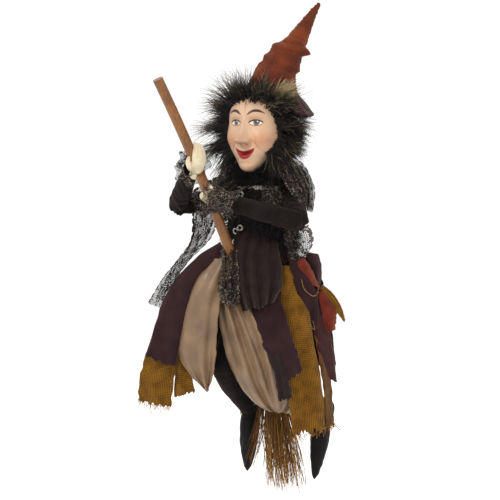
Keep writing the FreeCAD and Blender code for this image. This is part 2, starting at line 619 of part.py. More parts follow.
# ---- legs ---------------------------------------------------------------------------------
def leg_pieces(side):
    hip, knee, ankle, toe = HIP[side], KNEE[side], ANKLE[side], TOE[side]
    down, back = (knee - hip).normalize(), (ankle - knee).normalize()
    half_hub, half_fork = size("hub_wide") / 2, size("fork_wide") / 2

    bone = [rod(side + "_thigh_dowel", "Sizes.dowel_radius", hip + down * 3, knee - down * 12),
            rod(side + "_hip_hub", "Sizes.hub_radius", hip - SIDE * half_hub, hip + SIDE * half_hub),
            rod(side + "_fork_neck", "Sizes.fork_radius - 0.4", knee - down * 18, knee - down * 1),
            rod(side + "_fork_disc", "Sizes.fork_radius", knee - SIDE * half_fork, knee + SIDE * half_fork)]
    slot = doc.addObject("Part::Box", side + "_fork_slot")
    bind(slot, "Length", "Sizes.slot_wide")
    slot.Width, slot.Height = 50, 50
    slant = Rotation(SIDE, degrees(atan2(-down.y, -down.z)) * -1)
    corner = slant.multVec(Vector(-size("slot_wide") / 2, -25, -50 + size("slot_reach")))
    slot.Placement = Placement(knee + corner, slant)
    bores = [slot, rod(side + "_hip_bore", "Sizes.hip_pin + Sizes.bore_clear", hip - SIDE * 30, hip + SIDE * 30),
             rod(side + "_pin_bore", "Sizes.hip_pin", knee - SIDE * 30, knee + SIDE * 30)]
    keep(side + "_thigh_bone", cut(side + "_thigh_cut", fuse(side + "_thigh_set", bone),
                                   fuse(side + "_thigh_bores", bores)))
    keep(side + "_knee_pin", rod(side + "_pin", "Sizes.hip_pin", knee - SIDE * (half_fork + 0.5),
                                 knee + SIDE * (half_fork + 0.5)))

    shin = fuse(side + "_shin_set", [rod(side + "_shin_hub", "Sizes.hub_radius", knee - SIDE * half_hub,
                                         knee + SIDE * half_hub),
                                     rod(side + "_shin_dowel", "Sizes.dowel_radius - 0.5", knee + back * 3,
                                         ankle + back * 2)])
    keep(side + "_shin_bone", cut(side + "_shin_cut", shin, rod(side + "_shin_bore",
                                                              "Sizes.hip_pin + Sizes.bore_clear",
                                                              knee - SIDE * 30, knee + SIDE * 30)))
    pad_solid = taper(side + "_thigh_pad", "Sizes.thigh_pad", "Sizes.knee_pad", hip + down * 19, knee - down * 19)
    pad_core = rod(side + "_thigh_core", "Sizes.dowel_radius + 0.1", hip, knee)
    keep(side + "_thigh_padding", cut(side + "_thigh_stuffing", pad_solid, pad_core))

    calf = taper(side + "_calf", "Sizes.shin_pad", "Sizes.ankle_pad", knee + back * 15, ankle - back * 13)
    calf_core = rod(side + "_calf_core", "Sizes.dowel_radius - 0.4", knee, ankle)
    keep(side + "_shin_padding", cut(side + "_calf_stuffing", calf, calf_core))

    # the boot hangs toe down: a cuff round the shin, then a foot that narrows to a curled point
    cuff = taper(side + "_cuff", 11, 12, ankle - back * 12.8, ankle + back * 2)
    foot = toe - ankle
    rounds = ((0.06, 11.5, 12.5, 2), (0.35, 11.5, 15, 3), (0.68, 10, 11, 0), (0.99, 3, 3, -2))
    wires = []
    for part, wide, deep, shift in rounds:
        oval = Part.Ellipse(Vector(), max(wide, deep), min(wide, deep) - 0.01).toShape()
        oval.rotate(Vector(), UP, 90)
        oval.translate(ankle + foot * part + Vector(0, shift, 0))
        wires.append(Part.Wire(oval))
    upper = made(side + "_foot", Part.makeLoft(wires, True, True))
    heel = ball(side + "_heel", 11, ankle + Vector(0, 6, -6))
    boot = fuse(side + "_boot_set", [cuff, upper, heel])
    tool = rod(side + "_boot_core", "Sizes.dowel_radius - 0.4", knee, ankle + back * 2.2)
    keep(side + "_boot", cut(side + "_boot_cut", boot, tool))


def front_dome(name, centre, across, deep, tall, window, thigh):
    """A puffed front of a gathered underskirt: the front of a hollow egg, clear of the leg behind it."""
    outer = egg(name + "_outer", centre, across, deep, tall)
    inner = egg(name + "_inner", centre, across - 4, deep - 4, tall - 4)
    hollow = cut(name + "_hollow", outer, inner)
    trimmed = common(name + "_front", hollow, block(name + "_window", Vector(*window[0]), Vector(*window[1])))
    leg = rod(name + "_leg", 14.5, HIP[thigh], KNEE[thigh] + (KNEE[thigh] - HIP[thigh]).normalize() * 18)
    return cut(name + "_cleared", trimmed, leg)


def thigh_cloth():
    right = Vector(-48, -40, -190)
    keep("satin_panel_right", front_dome("petal", right, 34, 30, 70, ((-90, -90, -257), (-18, -41, -138)), "right"))
    keep("felt_panel_right", slab("felt_right", [((-88, -68, -137), (-48, -66, -137)),
                                                 ((-103, -80, -180), (-62, -75, -180)),
                                                 ((-112, -88, -222), (-72, -79, -226))]))
    keep("hessian_panel_right", slab("hessian_right", [((-103, -74, -196), (-72, -67, -196)),
                                                       ((-118, -84, -276), (-76, -64, -278))], 2.5))
    left = Vector(30, -40, -218)
    keep("bloomer_left", front_dome("bubble", left, 40, 34, 70, ((6, -90, -290), (80, -41, -140)), "left"))
    front = slab("felt_left", [((24, -60, -137), (48, -46, -137)), ((40, -72, -186), (69, -55, -184)),
                               ((64, -62, -241), (80, -49, -228))])
    keep("felt_panel_left", cut("felt_left_cut", front, egg("bubble_in_felt", left, 40.3, 34.3, 70.3)))
    keep("hessian_panel_left", slab("hessian_left", [((49, -36, -137), (64, -4, -137)),
                                                     ((63, -38, -225), (85, -8, -225)),
                                                     ((67, -38, -308), (89, -6, -306))], 2.5))
    keep("rust_panel_left", slab("rust_left", [((56, 4, -137), (63, 24, -137)), ((72, 4, -195), (78, 27, -198)),
                                               ((89, 10, -243), (91, 32, -247))]))


# ---- make everything ----------------------------------------------------------------------
finish_case()
drive_pieces()
neck_and_pinion()
head_pieces()
trunk_pieces()
torso_cloth()
for side in ("right", "left"):
    arm_pieces(side)
broom_pieces()
for side in ("right", "left"):
    leg_pieces(side)
thigh_cloth()
doc.recompute()

faults = [thing.Name for thing in doc.Objects if "Invalid" in thing.State or "Error" in thing.State]
for part in parts:
    if part.Shape.isNull() or not part.Shape.isValid():
        faults.append(part.Label + " shape")
if faults:
    raise RuntimeError("failed objects: %s" % ", ".join(faults))
os.makedirs("parts", exist_ok=True)
for part in parts:
    part.Shape.exportStep("parts/%s.step" % part.Label)
print(len(parts), "nodes written")
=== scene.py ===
"""A witch riding her broomstick: everything that shows, built round the working frame.

Pieces are laid out in millimetres round her own centre line and moved into the frame's
metres when their meshes are made. Cloth is laid out in a plane turned 30 degrees about
the upright axis: u runs across it, w comes towards the front and z goes up.
"""
from math import cos, pi, radians, sin, sqrt, tau

import bmesh
import bpy
import numpy as np
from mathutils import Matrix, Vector


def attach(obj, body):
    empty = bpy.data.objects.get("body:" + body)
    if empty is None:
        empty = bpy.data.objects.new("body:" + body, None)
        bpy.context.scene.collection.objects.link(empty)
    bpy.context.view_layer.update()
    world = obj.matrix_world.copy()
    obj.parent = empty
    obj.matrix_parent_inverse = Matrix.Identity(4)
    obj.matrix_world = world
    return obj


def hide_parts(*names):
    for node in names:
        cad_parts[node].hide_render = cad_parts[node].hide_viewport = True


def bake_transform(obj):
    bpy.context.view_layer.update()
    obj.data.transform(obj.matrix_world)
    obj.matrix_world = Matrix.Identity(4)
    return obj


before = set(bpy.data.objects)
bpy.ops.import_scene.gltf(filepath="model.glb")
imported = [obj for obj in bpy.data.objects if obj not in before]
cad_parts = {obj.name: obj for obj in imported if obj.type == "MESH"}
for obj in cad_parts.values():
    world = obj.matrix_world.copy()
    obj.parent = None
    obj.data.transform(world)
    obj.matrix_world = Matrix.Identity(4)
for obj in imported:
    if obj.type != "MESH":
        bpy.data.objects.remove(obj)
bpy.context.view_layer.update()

MM = 0.001
EYE_TO_CENTRE = np.array((0.0, -50.0, 16.0))  # her centre line, seen from the hanging eye
ACROSS = np.array((cos(radians(30)), sin(radians(30)), 0.0))
TOWARDS = np.array((sin(radians(30)), -cos(radians(30)), 0.0))
UP = np.array((0.0, 0.0, 1.0))


# ---- placing ------------------------------------------------------------------------------
def at(points):
    """Centre-line millimetres to the frame's metres."""
    return (np.asarray(points, float) + EYE_TO_CENTRE) * MM


def turned(points):
    """(u, w, z) rows to (x, y, z) rows."""
    points = np.asarray(points, float)
    return points[..., :1] * ACROSS + points[..., 1:2] * TOWARDS + points[..., 2:3] * UP


def spline(rows, t):
    """A smooth line through the rows, at shares t of its way; every column runs the same way."""
    rows = np.asarray(rows, float)
    last = len(rows) - 1
    place = np.clip(np.asarray(t, float), 0, 1) * last
    low = np.minimum(place.astype(int), last - 1)
    f = (place - low)[..., None]
    before, start = rows[np.maximum(low - 1, 0)], rows[low]
    end, after = rows[low + 1], rows[np.minimum(low + 2, last)]
    return 0.5 * (2 * start + (end - before) * f + (2 * before - 5 * start + 4 * end - after) * f ** 2
                  + (3 * start - before - 3 * end + after) * f ** 3)


def waves(points, length, seed, count=7):
    """Smooth uneven ripples from about -1 to 1, of that length, over (n, 3) points."""
    draw = np.random.default_rng(seed)
    ways = draw.normal(size=(count, 3))
    ways /= np.linalg.norm(ways, axis=1)[:, None]
    ways *= tau / length * draw.uniform(0.6, 1.7, (count, 1))
    return np.sin(np.asarray(points) @ ways.T + draw.uniform(0, tau, count)).sum(1) / sqrt(count) / 1.3


def bell(value, middle, width):
    return np.exp(-((value - middle) / width) ** 2)


def unit(rows):
    return rows / np.maximum(np.linalg.norm(rows, axis=-1, keepdims=True), 1e-9)


# ---- making meshes ------------------------------------------------------------------------
def show(name, mesh, material):
    thing = bpy.data.objects.new(name, mesh)
    bpy.context.scene.collection.objects.link(thing)
    thing.data.materials.clear()
    thing.data.materials.append(material)
    mesh.polygons.foreach_set("use_smooth", [True] * len(mesh.polygons))
    return thing


def surface(name, columns, rows, place, material, span=(1, 1), closed=False, keep=None, solid=0):
    """A grid moved by place(s, t); span is its cloth size in mm for the weave, keep(i, j) leaves
    holes where it is false, and solid is a thickness in mm."""
    work = bmesh.new()
    layer = work.loops.layers.uv.new("UVMap")
    bmesh.ops.create_grid(work, x_segments=columns, y_segments=rows, size=0.5)
    flat = np.array([v.co[:2] for v in work.verts]) + 0.5
    for face in work.faces:
        for loop in face.loops:
            loop[layer].uv = ((loop.vert.co.x + 0.5) * span[0], (loop.vert.co.y + 0.5) * span[1])
    if keep is not None:
        centres = np.array([f.calc_center_median()[:2] for f in work.faces]) + 0.5
        stays = keep((centres[:, 0] * columns).astype(int), (centres[:, 1] * rows).astype(int))
    spots = at(place(flat[:, 0], flat[:, 1]))
    for vert, spot in zip(work.verts, spots):
        vert.co = spot
    if keep is not None:
        gone = [face for face, stay in zip(list(work.faces), stays) if not stay]
        bmesh.ops.delete(work, geom=gone, context="FACES")
    if closed:
        bmesh.ops.remove_doubles(work, verts=work.verts, dist=1e-6)
    mesh = bpy.data.meshes.new(name)
    work.to_mesh(mesh)
    work.free()
    thing = show(name, mesh, material)
    if solid:
        shell = thing.modifiers.new("thickness", "SOLIDIFY")
        shell.thickness = solid * MM
        shell.offset = 0
    return thing


def strands(name, paths, radii, shades, material, taper=0.25, rings=0):
    """Hairs, threads or twigs along point rows, thinning to taper of their radius at the far end."""
    curve = bpy.data.curves.new(name, "CURVE")
    curve.dimensions = "3D"
    curve.bevel_depth = 1
    curve.bevel_resolution = rings
    count = len(paths[0])
    thin = np.linspace(1, taper, count)
    for path, radius in zip(paths, radii):
        line = curve.splines.new("POLY")
        line.points.add(count - 1)
        line.points.foreach_set("co", np.c_[at(path), np.ones(count)].ravel())
        line.points.foreach_set("radius", radius * MM * thin)
    holder = bpy.data.objects.new(name + "_line", curve)
    bpy.context.scene.collection.objects.link(holder)
    mesh = bpy.data.meshes.new_from_object(holder.evaluated_get(bpy.context.evaluated_depsgraph_get()))
    bpy.data.objects.remove(holder)
    bpy.data.curves.remove(curve)
    mesh.name = name
    around = len(mesh.vertices) // (count * len(paths))
    along = np.tile(np.repeat(np.linspace(0, 1, count), around), len(paths))
    shade = np.repeat(np.asarray(shades, float), count * around)
    for label, values in (("along", along), ("shade", shade)):
        mesh.attributes.new(label, "FLOAT", "POINT").data.foreach_set("value", values.astype(np.float32))
    return show(name, mesh, material)


def combed(root, way, reach, bend, steps):
    """A hair from its root: straight along way at first, then bending."""
    return root + way * reach * steps + bend * reach * steps ** 2


def tube(name, columns, rows, line, material, facing=(0, -1, 0), shape=None):
    """A closed skin round a line of (x, y, z, half width, half depth) rows, with its ends drawn in."""
    line = np.asarray(line, float)
    facing = np.asarray(facing, float)

    def place(s, t):
        here = spline(line, t)
        ahead = spline(line, np.minimum(t + 0.01, 1)) - spline(line, np.maximum(t - 0.01, 0))
        way = unit(ahead[:, :3])
        side = unit(np.cross(way, facing))
        front = unit(np.cross(side, way))
        angle = tau * s
        shut = np.sqrt(np.clip(1 - (np.abs(2 * t - 1)) ** 60, 0, 1))
        wide = np.maximum(here[:, 3], 0.05) * shut
        deep = np.maximum(here[:, 4], 0.05) * shut
        out = side * np.sin(angle)[:, None] * wide[:, None] + front * np.cos(angle)[:, None] * deep[:, None]
        spot = here[:, :3] + out
        if shape is not None:
            spot = spot + unit(out) * shape(spot, s, t)[:, None]
        return spot

    girth = tau * float(line[:, 3:5].mean())
    length = float(np.linalg.norm(np.diff(line[:, :3], axis=0), axis=1).sum())
    return surface(name, columns, rows, place, material, (girth, length), closed=True)


def strip(name, left, right, material, columns=40, rows=70, bulge=6, folds=3, depth=3, seed=1, solid=0.8,
          ragged=1.5, own=None):
    """Hanging cloth between two edges of (u, w, z) rows, bulging towards the front, with folds that
    grow downwards and a foot that isn't quite straight."""
    left, right = np.asarray(left, float), np.asarray(right, float)
    draw = np.random.default_rng(seed)
    lead = draw.uniform(0, tau)

    def place(s, t):
        down = 1 - t
        a, b = spline(left, down), spline(right, down)
        sway = s + 0.05 * np.sin(down * 5 + lead) * np.sin(pi * s)
        spot = a * (1 - sway)[:, None] + b * sway[:, None]
        rough = waves(np.c_[spot[:, 0], spot[:, 1] * 0, spot[:, 2]], 26, seed)
        spot[:, 1] += bulge * np.sin(pi * s) ** 0.8
        spot[:, 1] += depth * (0.25 + 0.75 * down) * np.sin(tau * folds * s + lead + 1.3 * down) + 1.1 * rough
        foot = np.clip(down * 12 - 11, 0, 1)
        spot[:, 2] += foot * ragged * waves(np.c_[s * 40, s * 0, s * 0], 5, seed + 3)
        edge = bell(s, 0, 0.06) + bell(s, 1, 0.06)
        spot[:, 0] += edge * 0.7 * waves(np.c_[down * 60, s * 0, s * 0], 7, seed + 5)
        if own is not None:
            spot = own(spot, s, down)
        return turned(spot)

    wide = float(np.linalg.norm(left.mean(0) - right.mean(0)))
    tall = float(np.linalg.norm(np.diff((left + right) / 2 if len(left) == len(right) else left, axis=0),
                                axis=1).sum())
    return surface(name, columns, rows, place, material, (wide, tall), solid=solid)


def fused(name, parts, material, fine=0.7, smooth=6):
    """Several closed pieces melted into one skin."""
    bpy.context.view_layer.update()
    work = bmesh.new()
    for part in parts:
        work.from_mesh(part.data)
        bpy.data.objects.remove(part)
    mesh = bpy.data.meshes.new(name)
    work.to_mesh(mesh)
    work.free()
    thing = show(name, mesh, material)
    melt = thing.modifiers.new("melt", "REMESH")
    melt.mode, melt.voxel_size, melt.use_smooth_shade = "VOXEL", fine * MM, True
    soften = thing.modifiers.new("soften", "SMOOTH")
    soften.factor, soften.iterations = 0.5, smooth
    done = bpy.data.meshes.new_from_object(thing.evaluated_get(bpy.context.evaluated_depsgraph_get()))
    thing.modifiers.clear()
    thing.data = done
    bpy.data.meshes.remove(mesh)
    done.name = name
    done.materials.clear()
    done.materials.append(material)
    done.polygons.foreach_set("use_smooth", [True] * len(done.polygons))
    return thing


# ---- materials ----------------------------------------------------------------------------
def tone(code):
    """Linear colour of an sRGB hex code."""
    parts = [int(code[i:i + 2], 16) / 255 for i in (1, 3, 5)]
    return (*(p / 12.92 if p <= 0.04045 else ((p + 0.055) / 1.055) ** 2.4 for p in parts), 1.0)


class Finish:
    """A procedural material in the making."""

    def __init__(self, name, roughness=0.6, **inputs):
        self.material = bpy.data.materials.new(name)
        self.material.use_nodes = True
        self.tree = self.material.node_tree
        self.shader = next(n for n in self.tree.nodes if n.type == "BSDF_PRINCIPLED")
        self.set("Roughness", roughness)
        for key, value in inputs.items():
            self.set(key.replace("_", " "), value)
        where = self.tree.nodes.new("ShaderNodeTexCoord")
        self.place, self.uv = where.outputs["Object"], where.outputs["UV"]

    def set(self, key, value):
        self.feed(self.shader.inputs[key], value)

    def feed(self, socket, value):
        if isinstance(value, bpy.types.NodeSocket):
            self.tree.links.new(value, socket)
        else:
            socket.default_value = value

    def add(self, kind, inputs=(), out=0, **settings):
        made = self.tree.nodes.new("ShaderNode" + kind)
        for key, value in settings.items():
            setattr(made, key, value)
        for key, value in dict(inputs).items():
            self.feed(made.inputs[key], value)
        return made.outputs[out]

    def noise(self, size, detail=4, distortion=0.0, stretch=None):
        """Soft noise with marks of that size in mm."""
        vector = self.add("Mapping", {"Vector": self.place, "Scale": stretch}) if stretch else self.place
        return self.add("TexNoise", {"Vector": vector, "Scale": 1000 / size, "Detail": detail,
                                     "Distortion": distortion})

    def ramp(self, value, stops):
        made = self.tree.nodes.new("ShaderNodeValToRGB")
        self.feed(made.inputs[0], value)
        band = made.color_ramp
        while len(band.elements) < len(stops):
            band.elements.new(0.5)
        for element, (place, colour) in zip(band.elements, stops):
            element.position = place
            element.color = tone(colour) if isinstance(colour, str) else (colour, colour, colour, 1)
        return made.outputs[0]

    def mix(self, share, first, second, way="MIX"):
        made = self.tree.nodes.new("ShaderNodeMix")
        made.data_type, made.blend_type = "RGBA", way
        for index, value in ((0, share), (6, first), (7, second)):
            self.feed(made.inputs[index], tone(value) if isinstance(value, str) else value)
        return made.outputs[2]

    def maths(self, way, first, second=0.0):
        return self.add("Math", {0: first, 1: second}, operation=way)

    def bump(self, height, strength, distance):
        self.set("Normal", self.add("Bump", {"Height": height, "Strength": strength, "Distance": distance * MM}))

    def threads(self, pitch, wander=1.5):
        """Warp and weft over the cloth's own UVs, with threads that far apart in mm."""
        sets = []
        for way in ("X", "Y"):
            sets.append(self.add("TexWave", {"Vector": self.uv, "Scale": 0.31416 / pitch,
                                             "Distortion": wander, "Detail": 2.0, "Detail Scale": 0.6},
                                 out=1, bands_direction=way))
        return sets


def cloth(name, dark, light, roughness=0.9, patch=18, grain=0.7, sheen=0.15, bump=0.35, pitch=None,
          wander=1.2, weave_gap_shade=None, tint="#ffffff"):
    made = Finish(name, roughness, Sheen_Weight=sheen, Sheen_Roughness=0.5, Specular_IOR_Level=0.12,
                  Sheen_Tint=tone(tint))
    broad = made.ramp(made.noise(patch, 3), [(0.34, dark), (0.66, light)])
    fine = made.noise(grain, 5)
    colour = made.mix(0.35, broad, made.ramp(fine, [(0.3, dark), (0.7, light)]))
    height = fine
    if pitch:
        warp, weft = made.threads(pitch, wander)
        height = made.maths("MAXIMUM", warp, made.maths("MULTIPLY", weft, 0.9))
        height = made.maths("ADD", height, made.maths("MULTIPLY", fine, 0.3))
        # between the threads the colour turns to the gap colour: painted shade in the hollows of the weave, together
        # with the dark that shows through its holes
        if weave_gap_shade:
            colour = made.mix(made.ramp(height, [(0.45, 0.0), (0.85, 1.0)]), weave_gap_shade, colour)
    made.set("Base Color", colour)
    made.bump(height, bump, 0.3)
    return made.material


def hair(name, root, middle, tip, far=0.9, roughness=0.45):
    made = Finish(name, roughness, Sheen_Weight=0.05, Specular_IOR_Level=0.25)
    along = made.add("Attribute", out=2, attribute_name="along")
    shade = made.add("Attribute", out=2, attribute_name="shade")
    reach = made.maths("MULTIPLY", along, shade)
    colour = made.ramp(reach, [(0.0, root), (0.45, middle), (far, tip)])
    colour = made.mix(0.5, colour, made.ramp(made.noise(6, 2), [(0.3, 0.35), (0.7, 1.0)]), "MULTIPLY")
    made.set("Base Color", colour)
    made.bump(made.noise(0.5, 2), 0.2, 0.1)
    return made.material


def metal(name, dark, light, roughness, grain=0.6):
    made = Finish(name, roughness, Metallic=1.0)
    made.set("Base Color", made.ramp(made.noise(4, 4), [(0.35, dark), (0.65, light)]))
    made.set("Roughness", made.ramp(made.noise(2, 5), [(0.3, roughness * 0.7), (0.7, roughness * 1.4)]))
    made.bump(made.noise(grain, 3), 0.08, 0.05)
    return made.material


def plastic(name, dark, light, roughness, grain=0.35, coat=0.0):
    made = Finish(name, roughness, Specular_IOR_Level=0.5, Coat_Weight=coat)
    made.set("Base Color", made.ramp(made.noise(9, 3), [(0.3, dark), (0.7, light)]))
    made.bump(made.noise(grain, 2), 0.12, 0.06)
    return made.material


def wood(name, dark, light, roughness, stretch, coat=0.0):
    made = Finish(name, roughness, Specular_IOR_Level=0.45, Coat_Weight=coat, Coat_Roughness=0.25)
    grain = made.noise(5, 8, distortion=0.6, stretch=stretch)
    pores = made.noise(0.9, 4, stretch=stretch)
    colour = made.ramp(grain, [(0.32, dark), (0.68, light)])
    colour = made.mix(0.45, colour, made.ramp(pores, [(0.38, dark), (0.6, light)]))
    made.set("Base Color", colour)
    made.bump(pores, 0.2, 0.15)
    return made.material


def lace_thread():
    made = Finish("black_lace_thread", 0.6, Sheen_Weight=0.08, Specular_IOR_Level=0.2)
    glint = made.add("TexVoronoi", {"Vector": made.place, "Scale": 900.0}, out=1)
    spots = made.ramp(made.add("SeparateColor", {0: glint}), [(0.80, 0.0), (0.86, 1.0)])
    base = made.ramp(made.noise(5, 3), [(0.3, "#080505"), (0.7, "#191211")])
    made.set("Base Color", made.mix(spots, base, "#8c7b6d"))
    made.set("Metallic", made.maths("MULTIPLY", spots, 0.6))
    made.bump(made.noise(0.5, 3), 0.5, 0.3)
    return made.material


def painted_skin():
    made = Finish("painted_skin_finish", 0.42, Specular_IOR_Level=0.4, Subsurface_Weight=0.08,
                  Subsurface_Scale=0.004, Coat_Weight=0.12, Coat_Roughness=0.3)
    paint = made.add("Attribute", out=0, attribute_name="paint")
    cloud = made.ramp(made.noise(14, 4), [(0.3, 0.93), (0.7, 1.0)])
    made.set("Base Color", made.mix(1.0, paint, cloud, "MULTIPLY"))
    made.set("Roughness", made.ramp(made.noise(3, 4), [(0.3, 0.36), (0.7, 0.52)]))
    made.bump(made.noise(0.7, 3), 0.06, 0.1)
    return made.material


def hat_suede():
    made = Finish("rust_suede_finish", 0.85, Sheen_Weight=0.18, Sheen_Roughness=0.45,
                  Specular_IOR_Level=0.25, Sheen_Tint=tone("#e08a52"))
    broad = made.ramp(made.noise(32, 4), [(0.34, "#260e0c"), (0.5, "#49190f"), (0.68, "#74320e")])
    nap = made.noise(0.8, 5, stretch=(1, 1, 0.4))
    fine = made.ramp(nap, [(0.3, "#3a150f"), (0.7, "#823c16")])
    made.set("Base Color", made.mix(0.4, broad, fine))
    made.bump(nap, 0.5, 0.3)
    return made.material


def satin(name, dark, light, gleam):
    made = Finish(name, 0.36, Sheen_Weight=0.25, Sheen_Roughness=0.3, Specular_IOR_Level=0.5,
                  Anisotropic=0.5, Sheen_Tint=tone(gleam))
    broad = made.ramp(made.noise(26, 3), [(0.3, dark), (0.7, light)])
    warp, weft = made.threads(0.45, 0.4)
    # a share of the base colour runs from dark to the gleam colour along the weft threads: painted sheen on the satin
    made.set("Base Color", made.mix(0.15, broad, made.ramp(weft, [(0.2, dark), (0.8, gleam)])))
    made.set("Roughness", made.ramp(made.noise(8, 4), [(0.3, 0.3), (0.7, 0.44)]))
    made.bump(made.maths("ADD", weft, made.maths("MULTIPLY", warp, 0.4)), 0.08, 0.1)
    return made.material


FELT = cloth("aubergine_felt_finish", "#1e1013", "#301d20", patch=22, grain=0.6, sheen=0.3, bump=0.5,
             tint="#a07a78")
HESSIAN = cloth("hessian_finish", "#5c3c0e", "#8c611c", patch=12, grain=0.6, sheen=0.05, bump=1.0, pitch=1.8,
                wander=2.6, weave_gap_shade="#2c1803")
# a darker copy of the hessian for the fold behind the left strip: painted shade
HESSIAN_PAINTED_SHADE = cloth("hessian_painted_shade_finish", "#4a2d0b", "#704a18", patch=10, grain=0.5, sheen=0.1, bump=0.9,
                      pitch=2.3, wander=2.2, weave_gap_shade="#2a1906")
RUST = cloth("rust_cloth_finish", "#451711", "#742c1f", patch=12, grain=0.5, sheen=0.35, bump=0.3, pitch=0.7,
             wander=0.6, tint="#e0a080")
MAROON = cloth("maroon_cloth_finish", "#241013", "#42201f", patch=14, grain=0.6, sheen=0.1, bump=0.4)
JERSEY = cloth("black_jersey_finish", "#0e0a0a", "#1d1715", patch=14, grain=0.5, sheen=0.12, bump=0.35,
               pitch=0.6, wander=0.5, tint="#8a7a72")
BOOT = cloth("boot_leather_finish", "#080607", "#141011", roughness=0.6, patch=9, grain=1.2, sheen=0.08,
             bump=0.25)
NET = cloth("dark_net_finish", "#080506", "#161011", patch=7, grain=0.8, sheen=0.1, bump=0.9, pitch=1.7,
            wander=1.4, weave_gap_shade="#070506")
CHIFFON = cloth("dark_chiffon_finish", "#100809", "#241417", roughness=0.6, patch=9, grain=0.6, sheen=0.35,
                bump=0.5, pitch=0.8, wander=0.8, tint="#a08d80")
SPARKLE = lace_thread()
SKIN = painted_skin()
SUEDE = hat_suede()
TAUPE = satin("taupe_satin_finish", "#5f4a38", "#82664b", "#ae9370")
FUR = hair("long_fur_finish", "#060405", "#191214", "#b9a67c", far=0.98)
BLACK_FUR = hair("black_fur_finish", "#050404", "#0f0c0d", "#2c2628", far=0.98)
TWIG = hair("twig_finish", "#3c210a", "#7a4d14", "#a87a34", far=0.9, roughness=0.75)
THREAD = hair("hessian_thread_finish", "#7c5216", "#a87728", "#c8963e", far=0.95, roughness=0.85)
TWINE = cloth("twine_finish", "#4a3520", "#8a6a44", patch=3, grain=0.4, bump=0.9, pitch=0.8)
CREAM = cloth("cream_skin_finish", "#b9ab8e", "#d8ccb2", roughness=0.5, patch=10, grain=0.5, sheen=0.1, bump=0.15,
              pitch=0.4, wander=0.5)
CORD = cloth("golden_cord_finish", "#4f360f", "#8a682c", patch=3, grain=0.4, sheen=0.4, bump=0.9, pitch=0.9)
BEADING = metal("silver_metal_finish", "#8c8780", "#d6d2c8", 0.28)
PLAIN = {
    "black_plastic": plastic("black_plastic_finish", "#0b0b0d", "#1a1a1d", 0.5),
    "white_plastic": plastic("white_plastic_finish", "#cfcabb", "#e8e4d8", 0.42),
    "cell_wrap": plastic("cell_wrap_finish", "#15171c", "#252932", 0.25, coat=0.4),
    "circuit_board": plastic("circuit_board_finish", "#08301a", "#0f4a2a", 0.35, coat=0.3),
    "bright_steel": metal("bright_steel_finish", "#8b8d92", "#c3c5ca", 0.3),
    "bronze": metal("bronze_finish", "#7a5222", "#b08242", 0.38),
    "silver_metal": BEADING,
    "beech": wood("beech_finish", "#a87b4a", "#dcb484", 0.55, (1, 1, 0.12)),
    "varnished_dowel": wood("varnished_dowel_finish", "#4a2708", "#8c5712", 0.42, (1, 0.5, 0.1), coat=0.25),
    "wadding": cloth("wadding_finish", "#cfc8ba", "#efe9dc", patch=8, grain=1.4, bump=0.8),
}
KEPT_NODES = {
    "black_plastic": ("case_front", "case_rear", "battery_door", "switch_slider", "case_fittings"),
    "cell_wrap": ("battery_cells",), "circuit_board": ("control_board",),
    "bright_steel": ("motor_can", "gear_head", "bearing_plate", "shoulder_axles", "hip_axle", "hanging_eye",
                     "neck_shaft", "right_arm_wire", "left_arm_wire", "right_knee_pin", "left_knee_pin"),
    "bronze": ("neck_bushes",), "white_plastic": ("drive_pinion", "neck_gear"),
    "silver_metal": ("bodice_beads",), "varnished_dowel": ("broomstick",),
    "beech": ("spine_post", "pelvis_block", "right_thigh_bone", "left_thigh_bone", "right_shin_bone",
              "left_shin_bone"),
    "wadding": ("body_padding",),
}
for kind, names in KEPT_NODES.items():
    for node in names:
        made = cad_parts[node]
        made.data.materials.clear()
        made.data.materials.append(PLAIN[kind])


def finish_piece(piece, kind, body, *nodes):
    """Hangs the piece on the body it rides on and hides the CAD nodes it stands for; the piece's slot, kind, is not
    used.
    """
    if body:
        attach(piece, body)
    if nodes:
        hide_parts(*nodes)
    return piece


# ---- head ---------------------------------------------------------------------------------
HEAD_Y, HEAD_MIDDLE, HEAD_HALF = -12.0, 51.5, 47
EYE_OUT = 13.5  # each eye, out from the middle of the face
WIDTHS = ((5, 20), (9, 21), (14, 23), (20, 25.5), (30, 31.0), (45, 36.8), (62, 34.5), (83, 38), (98, 38))
DEPTHS = ((5, 25), (12, 25), (18, 24), (30, 28), (45, 30.5), (62, 31), (83, 36), (98, 36))
MIDDLES = ((5, -29.5), (12, -26.5), (20, -22), (30, -17.5), (45, HEAD_Y), (98, HEAD_Y))


